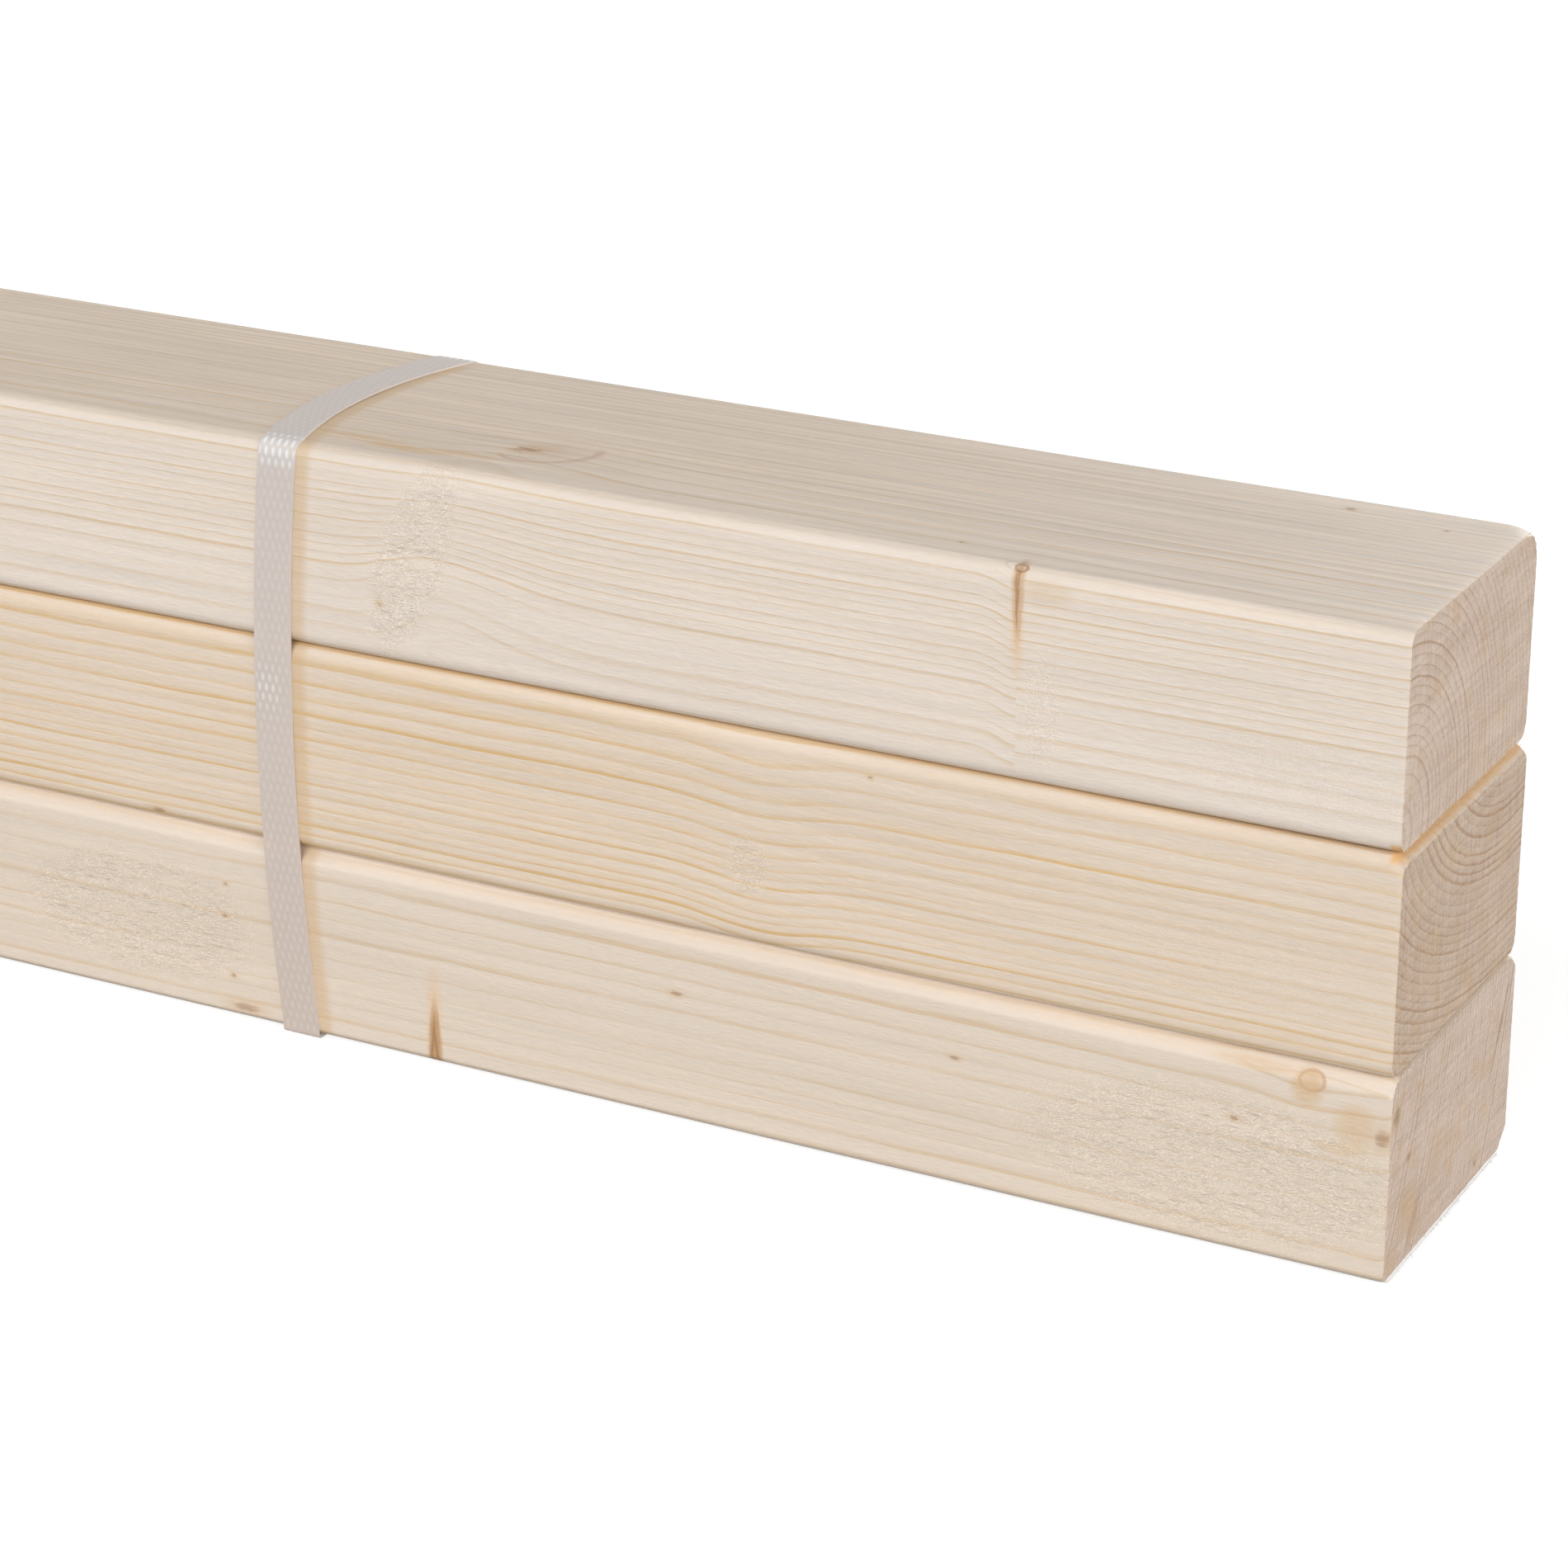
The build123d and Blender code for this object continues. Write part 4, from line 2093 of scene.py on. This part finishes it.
        back_share = sheet.math("MAXIMUM", (y + half_y) / (half_y * 2.0), 0.0)
        back_share = sheet.math("MINIMUM", back_share, 1.0)
        x = given["Towards"] * (given["Drift"] * back_share - bow) + across
        side = given["Towards"] * across
        studs = self.emboss(sheet, given, around, across)
        bent = sheet.ease(upright, *self.bend) * sheet.ease(level, *self.bend) * above
        from_scuff = (z - given["Scuff Height"]) / given["Scuff Reach"]
        scuffed = sheet.bell(from_scuff * from_scuff) * (1.0 - behind)
        scuffed = scuffed * sheet.ease(side, given["Width"] * self.scuff_side, 0.0)
        # Painted highlights: studs, the bent upper corners and the inner face are marked whiter; at the
        # bends this is also the whitening of stretched plastic.
        white = bent * self.bend_studs + scuffed * self.scuff_studs + self.stud_highlight
        pale = studs * (1.0 - inner) * white + bent * self.bend_whitening_and_highlight + inner * self.inner_highlight
        welded = sheet.ease(sheet.math("ABSOLUTE", z) / given["Weld Length"], *self.weld_edge)
        welded = welded * behind * upright
        welded = sheet.math("GREATER_THAN", welded, self.weld_least) * welded
        thick = given["Thickness"] + given["Thickness"] * welded + (studs - 0.5) * given["Relief"]
        out = lift + (1.0 - inner) * thick
        turned = sheet.math("SIGN", y * tangent_z - z * tangent_y)
        return sheet.vector(x, y + tangent_z * out * turned, z - tangent_y * out * turned), pale

    def emboss(self, sheet: Sheet, given: dict[str, Signal], around: Signal, across: Signal) -> Signal:
        """Lay staggered rows of studs on the band, a whole number of rows to the loop.

        Args:
            sheet: Where to write the nodes.
            given: The tree's inputs by name.
            around: Share of the way round.
            across: Way across the band, in metres.

        Returns:
            A signal from 0 between the studs to 1 on them.
        """
        loop_length = (given["Depth"] + given["Height"]) * 2.0
        row = around * sheet.math("ROUND", loop_length / given["Row Pitch"])
        column = across / given["Column Pitch"]
        stud = self.diamond(sheet, row + column) * self.diamond(sheet, row - column)
        half = given["Width"] * 0.5
        rim = sheet.ease(across * across / (half * half), *self.rim_edge)
        return sheet.ease(stud, *self.stud_edge) * rim

    @staticmethod
    def diamond(sheet: Sheet, run: Signal) -> Signal:
        """Rise from 0 to 1 and back once for each whole step."""
        return 1.0 - sheet.math("ABSOLUTE", sheet.math("FRACT", run) - 0.5) * 2.0


@dataclass(frozen=True)
class Light:
    """A broad distant light.

    Attributes:
        name: Its name.
        strength: Its strength.
        coming_from: Direction that it comes from.
        angle: Its width in degrees.
    """

    name: str
    strength: float
    coming_from: Point
    angle: float

    def hang(self) -> None:
        """Put the light in the scene."""
        light = bpy.data.lights.new(self.name, "SUN")
        light.energy = self.strength
        light.angle = math.radians(self.angle)
        lamp = bpy.data.objects.new(self.name, light)
        lamp.rotation_euler = Vector(self.coming_from).to_track_quat("Z", "Y").to_euler()
        bpy.context.scene.collection.objects.link(lamp)


@dataclass
class Studio:
    """Pale floor, soft light, white surroundings and the photograph's camera.

    Attributes:
        camera_at: Camera's place in metres.
        yaw: Turn of the camera to the left of straight on, in degrees.
        pitch: How far it looks down, in degrees.
        lens: Focal length in millimetres.
        sensor: Sensor width in millimetres.
        clip: Nearest and farthest distance that the camera sees, in metres.
        floor_size: Side of the floor in metres.
        floor_colour: Colour of the floor.
        floor_glow: How much the camera sees of the floor's own white.
        surround: Strength of the even light from all round.
        lights: The broad distant lights.
    """

    camera_at: Point = (1.305310, -0.760953, 0.410206)
    yaw: float = 27.810
    pitch: float = 21.921
    lens: float = 103.9
    sensor: float = 36.0
    clip: tuple[float, float] = (0.01, 200.0)
    floor_size: float = 80.0
    floor_colour: Colour = (0.45, 0.45, 0.45)
    floor_glow: float = 0.78
    surround: float = 0.10
    lights: tuple[Light, ...] = (
        Light("front_light", 1.82, (-0.10, -0.85, 0.52), 50.0),
        Light("left_light", 1.00, (-0.93, -0.31, 0.20), 30.0),
        Light("end_light", 2.50, (0.94, -0.25, 0.20), 60.0),
        Light("back_light", 1.70, (-0.10, 0.985, 0.14), 20.0),
    )

    def build(self) -> None:
        """Set up everything round the object."""
        self.lay_floor()
        self.surround_with_white()
        for light in self.lights:
            light.hang()
        self.place_camera()
        bpy.context.scene.view_settings.view_transform = "Standard"

    def lay_floor(self) -> None:
        """Lay the pale floor under the straps."""
        half = self.floor_size / 2.0
        corners = [(-half, -half, 0.0), (half, -half, 0.0), (half, half, 0.0), (-half, half, 0.0)]
        mesh = bpy.data.meshes.new("floor")
        mesh.from_pydata(corners, [], [(0, 1, 2, 3)])
        floor = bpy.data.objects.new("floor", mesh)
        bpy.context.scene.collection.objects.link(floor)
        material, sheet, shader = new_finish("pale_floor")
        shader.inputs["Base Color"].default_value = (*self.floor_colour, 1.0)
        shader.inputs["Roughness"].default_value = 1.0
        shader.inputs["Specular IOR Level"].default_value = 0.0
        shader.inputs["Emission Color"].default_value = (1.0, 1.0, 1.0, 1.0)
        sheet.feed(shader.inputs["Emission Strength"], self.seen_white(sheet) * self.floor_glow)
        mesh.materials.append(material)

    @staticmethod
    def seen_white(sheet: Sheet) -> Signal:
        """Give 1 for what the camera sees, directly or in gloss and glass, and 0 for other light.

        Args:
            sheet: Where to write the nodes.

        Returns:
            The signal.
        """
        path = sheet.add("ShaderNodeLightPath")
        names = ("Is Camera Ray", "Is Glossy Ray", "Is Transmission Ray")
        return sheet.greatest([Signal(sheet, path.outputs[name]) for name in names])

    def surround_with_white(self) -> None:
        """Make the world white to the camera and a soft even light to the object."""
        world = bpy.data.worlds.new("white_surround")
        world.use_nodes = True
        bpy.context.scene.world = world
        sheet = Sheet(world.node_tree)
        background = world.node_tree.nodes["Background"]
        background.inputs["Color"].default_value = (1.0, 1.0, 1.0, 1.0)
        strength = self.seen_white(sheet) * (1.0 - self.surround) + self.surround
        sheet.feed(background.inputs["Strength"], strength)

    def place_camera(self) -> None:
        """Put the camera where the photograph was taken from."""
        camera = bpy.data.cameras.new("photo_angle")
        camera.lens = self.lens
        camera.sensor_width = self.sensor
        camera.clip_start, camera.clip_end = self.clip
        holder = bpy.data.objects.new("photo_angle", camera)
        turn = math.radians(self.yaw)
        down = math.radians(self.pitch)
        look = Vector((
            -math.sin(turn) * math.cos(down),
            math.cos(turn) * math.cos(down),
            -math.sin(down),
        ))
        holder.location = self.camera_at
        holder.rotation_euler = look.to_track_quat("-Z", "Y").to_euler()
        bpy.context.scene.collection.objects.link(holder)
        bpy.context.scene.camera = holder


TOP_GRAIN = Grain(
    name="top",
    pith=(-2.0, 92.0),
    squash=1.0,
    ring_zones=((0.0, 0.33), (17.0, 0.19)),
    sway=1.2,
    seed=2.3,
    early=(0.80, 0.71, 0.625),
    late=(0.71, 0.555, 0.39),
    end_early=(0.775, 0.635, 0.53),
    end_late=(0.59, 0.40, 0.29),
    contrast=1.2,
    late_start=0.66,
    heart=22.0,
    branches=(
        Branch(
            start=(-218.0, -2.0, 92.0),
            end=(-193.0, 20.0, 132.0),
            radius=7.6,
            swell=7.0,
            left=11.0,
            right=30.0,
            across=13.0,
            depth=0.55,
            lines=2.3,
            arcs_from=-0.2,
            core=0.75,
        ),
    ),
    spikes=(Spike(-78.4, 130.5, 114.0, 1.5, 9.0, 132.8, 0.15, 0.4),),
    specks=(
        Speck(-36.0, 61.0, 132.0, 1.0, 0.7),
        Speck(-15.0, 57.0, 132.0, 0.6, 0.4),
        Speck(-94.0, 8.0, 132.0, 0.6, 0.4),
        Speck(-233.0, 10.9, 132.0, 13.0, 1.3, 0.0, 1.0, 0.55),
        Speck(-218.0, 8.6, 132.0, 10.0, 1.6, 0.0, 1.0, 0.6),
        Speck(-206.0, 10.6, 132.0, 9.0, 1.3, 0.0, 1.0, 0.55),
        Speck(-220.6, 0.0, 101.1, 0.8, 0.6, 0.3),
        Speck(-72.5, 0.0, 127.5, 5.0, 2.6, 0.0, 1.0, 0.28),
    ),
    torn=(
        Torn(-212.5, 0.0, 112.0, 9.5, 24.0, 0.34),
        Torn(-73.0, 0.0, 104.0, 4.5, 13.0, 0.0, 0.7),
        Torn(-20.0, 0.0, 100.0, 25.0, 9.0, 0.0, 0.35),
    ),
    dips=(Dip(-78.4, 4.8, 2.3, 4.0, True),),
)

MIDDLE_GRAIN = Grain(
    name="middle",
    pith=(62.0, 97.0),
    squash=0.35,
    ring_zones=((0.0, 0.58),),
    sway=0.7,
    seed=14.6,
    early=(0.765, 0.65, 0.54),
    late=(0.69, 0.475, 0.235),
    end_early=(0.71, 0.57, 0.46),
    end_late=(0.54, 0.36, 0.245),
    contrast=1.1,
    late_start=0.5,
    faded=0.3,
    late_haze=0.3,
    specks=(
        Speck(-278.5, 0.0, 44.8, 1.8, 0.9),
        Speck(-109.0, 0.0, 84.0, 0.6, 0.35),
    ),
    torn=(
        Torn(-136.0, 0.0, 60.0, 5.0, 7.0),
        Torn(-30.0, 0.0, 60.0, 30.0, 10.0, 0.0, 0.3),
    ),
    dips=(Dip(-133.0, 14.0, 2.5),),
)

BOTTOM_GRAIN = Grain(
    name="bottom",
    pith=(-157.0, 96.0),
    squash=1.0,
    ring_zones=((0.0, 0.58),),
    sway=1.4,
    seed=27.9,
    early=(0.75, 0.65, 0.55),
    late=(0.68, 0.53, 0.375),
    end_early=(0.785, 0.65, 0.55),
    end_late=(0.59, 0.40, 0.29),
    contrast=1.0,
    late_start=0.66,
    joint_shade=0.0,
    bevel=0.3,
    branches=(
        Branch(
            start=(-18.0, 20.0, 30.0),
            end=(-15.6, 0.0, 40.0),
            radius=2.6,
            swell=3.0,
            left=9.0,
            right=12.0,
            across=6.0,
            depth=0.8,
            lines=1.56,
            hollow=0.45,
            arcs_from=-9.0,
            core=0.0,
        ),
    ),
    spikes=(Spike(-210.5, -1.0, 18.0, 2.0, 8.0),),
    specks=(
        Speck(-152.5, 0.0, 28.8, 1.3, 0.55),
        Speck(-90.0, 0.0, 28.3, 1.0, 0.5),
        Speck(-31.0, 0.0, 28.7, 1.0, 0.5),
        Speck(-258.0, 0.0, 3.0, 3.4, 0.9),
        Speck(-261.0, 0.0, 10.0, 0.7, 0.5),
        Speck(-262.0, 0.0, 31.0, 0.6, 0.4),
        Speck(-262.5, 0.0, 23.5, 0.6, 0.4),
        Speck(-1.0, 0.0, 31.0, 1.5, 1.8),
        Speck(-16.5, 0.0, 38.5, 3.0, 3.6, 0.0, 1.0, 0.65),
        Speck(-27.0, 0.0, 41.5, 10.0, 1.6, 0.0, 1.0, 0.5),
        Speck(-6.5, 0.0, 32.0, 4.0, 4.5, 0.0, 1.0, 0.5),
        Speck(-9.0, 0.0, 27.0, 5.0, 1.2, 0.0, 1.0, 0.4),
    ),
    torn=(
        Torn(-36.0, 0.0, 18.0, 44.0, 18.0),
        Torn(-285.0, 0.0, 20.0, 34.0, 16.0),
    ),
    end_specks=(
        Speck(0.0, 10.9, 23.1, 9.0, 0.9),
        Speck(0.0, 50.8, 3.9, 9.0, 0.7),
        Speck(0.0, 3.0, 34.8, 9.0, 1.8),
        Speck(0.0, 12.0, 11.0, 9.0, 5.0, 0.0, 1.0, 0.4),
        Speck(0.0, 26.4, 15.5, 9.0, 4.0, 0.0, 1.0, 0.25),
        Speck(0.0, 4.0, 3.0, 9.0, 3.0, 0.0, 1.0, 0.4),
    ),
    checks=(
        Check((65.4, 37.7), (56.9, 19.5), 0.5, 0.6),
        Check((19.7, 13.5), (12.0, 2.2), 0.9, 0.3),
    ),
)


def main() -> None:
    """Build the bundle piece by piece, then the studio, and log the face count of each piece."""
    logging.basicConfig(level=logging.INFO, format="%(name)s: %(message)s")
    battens = (
        Batten(
            BOTTOM_NODE,
            BOTTOM_GRAIN,
            edge_steps=1,
            lower_radius=0.0012,
            back_radius=0.004,
            undercut=0.0005,
        ),
        Batten(MIDDLE_NODE, MIDDLE_GRAIN, snipe=0.0005, chip=0.0018),
        Batten(TOP_NODE, TOP_GRAIN, knock=0.0011),
    )
    for batten in battens:
        piece = batten.build()
        log.info("batten %s: %d faces", piece.name, len(piece.data.polygons))
    fuzz = FibreFinish().build()
    for seed, batten in enumerate(battens, start=FIRST_FIBRE_SEED):
        piece = EndFibres(batten.node, seed).build(fuzz)
        log.info("fibres %s: %d faces", piece.name, len(piece.data.polygons))
    milky = StrapFinish().build()
    straps = (
        Strap(NEAR_STRAP_NODE, BundleEnd.NEAR),
        Strap(FAR_STRAP_NODE, BundleEnd.FAR),
    )
    for strap in straps:
        piece = strap.build(milky)
        log.info("strap %s: %d faces", piece.name, len(piece.data.polygons))
    Studio().build()


if __name__ == "__main__":
    main()
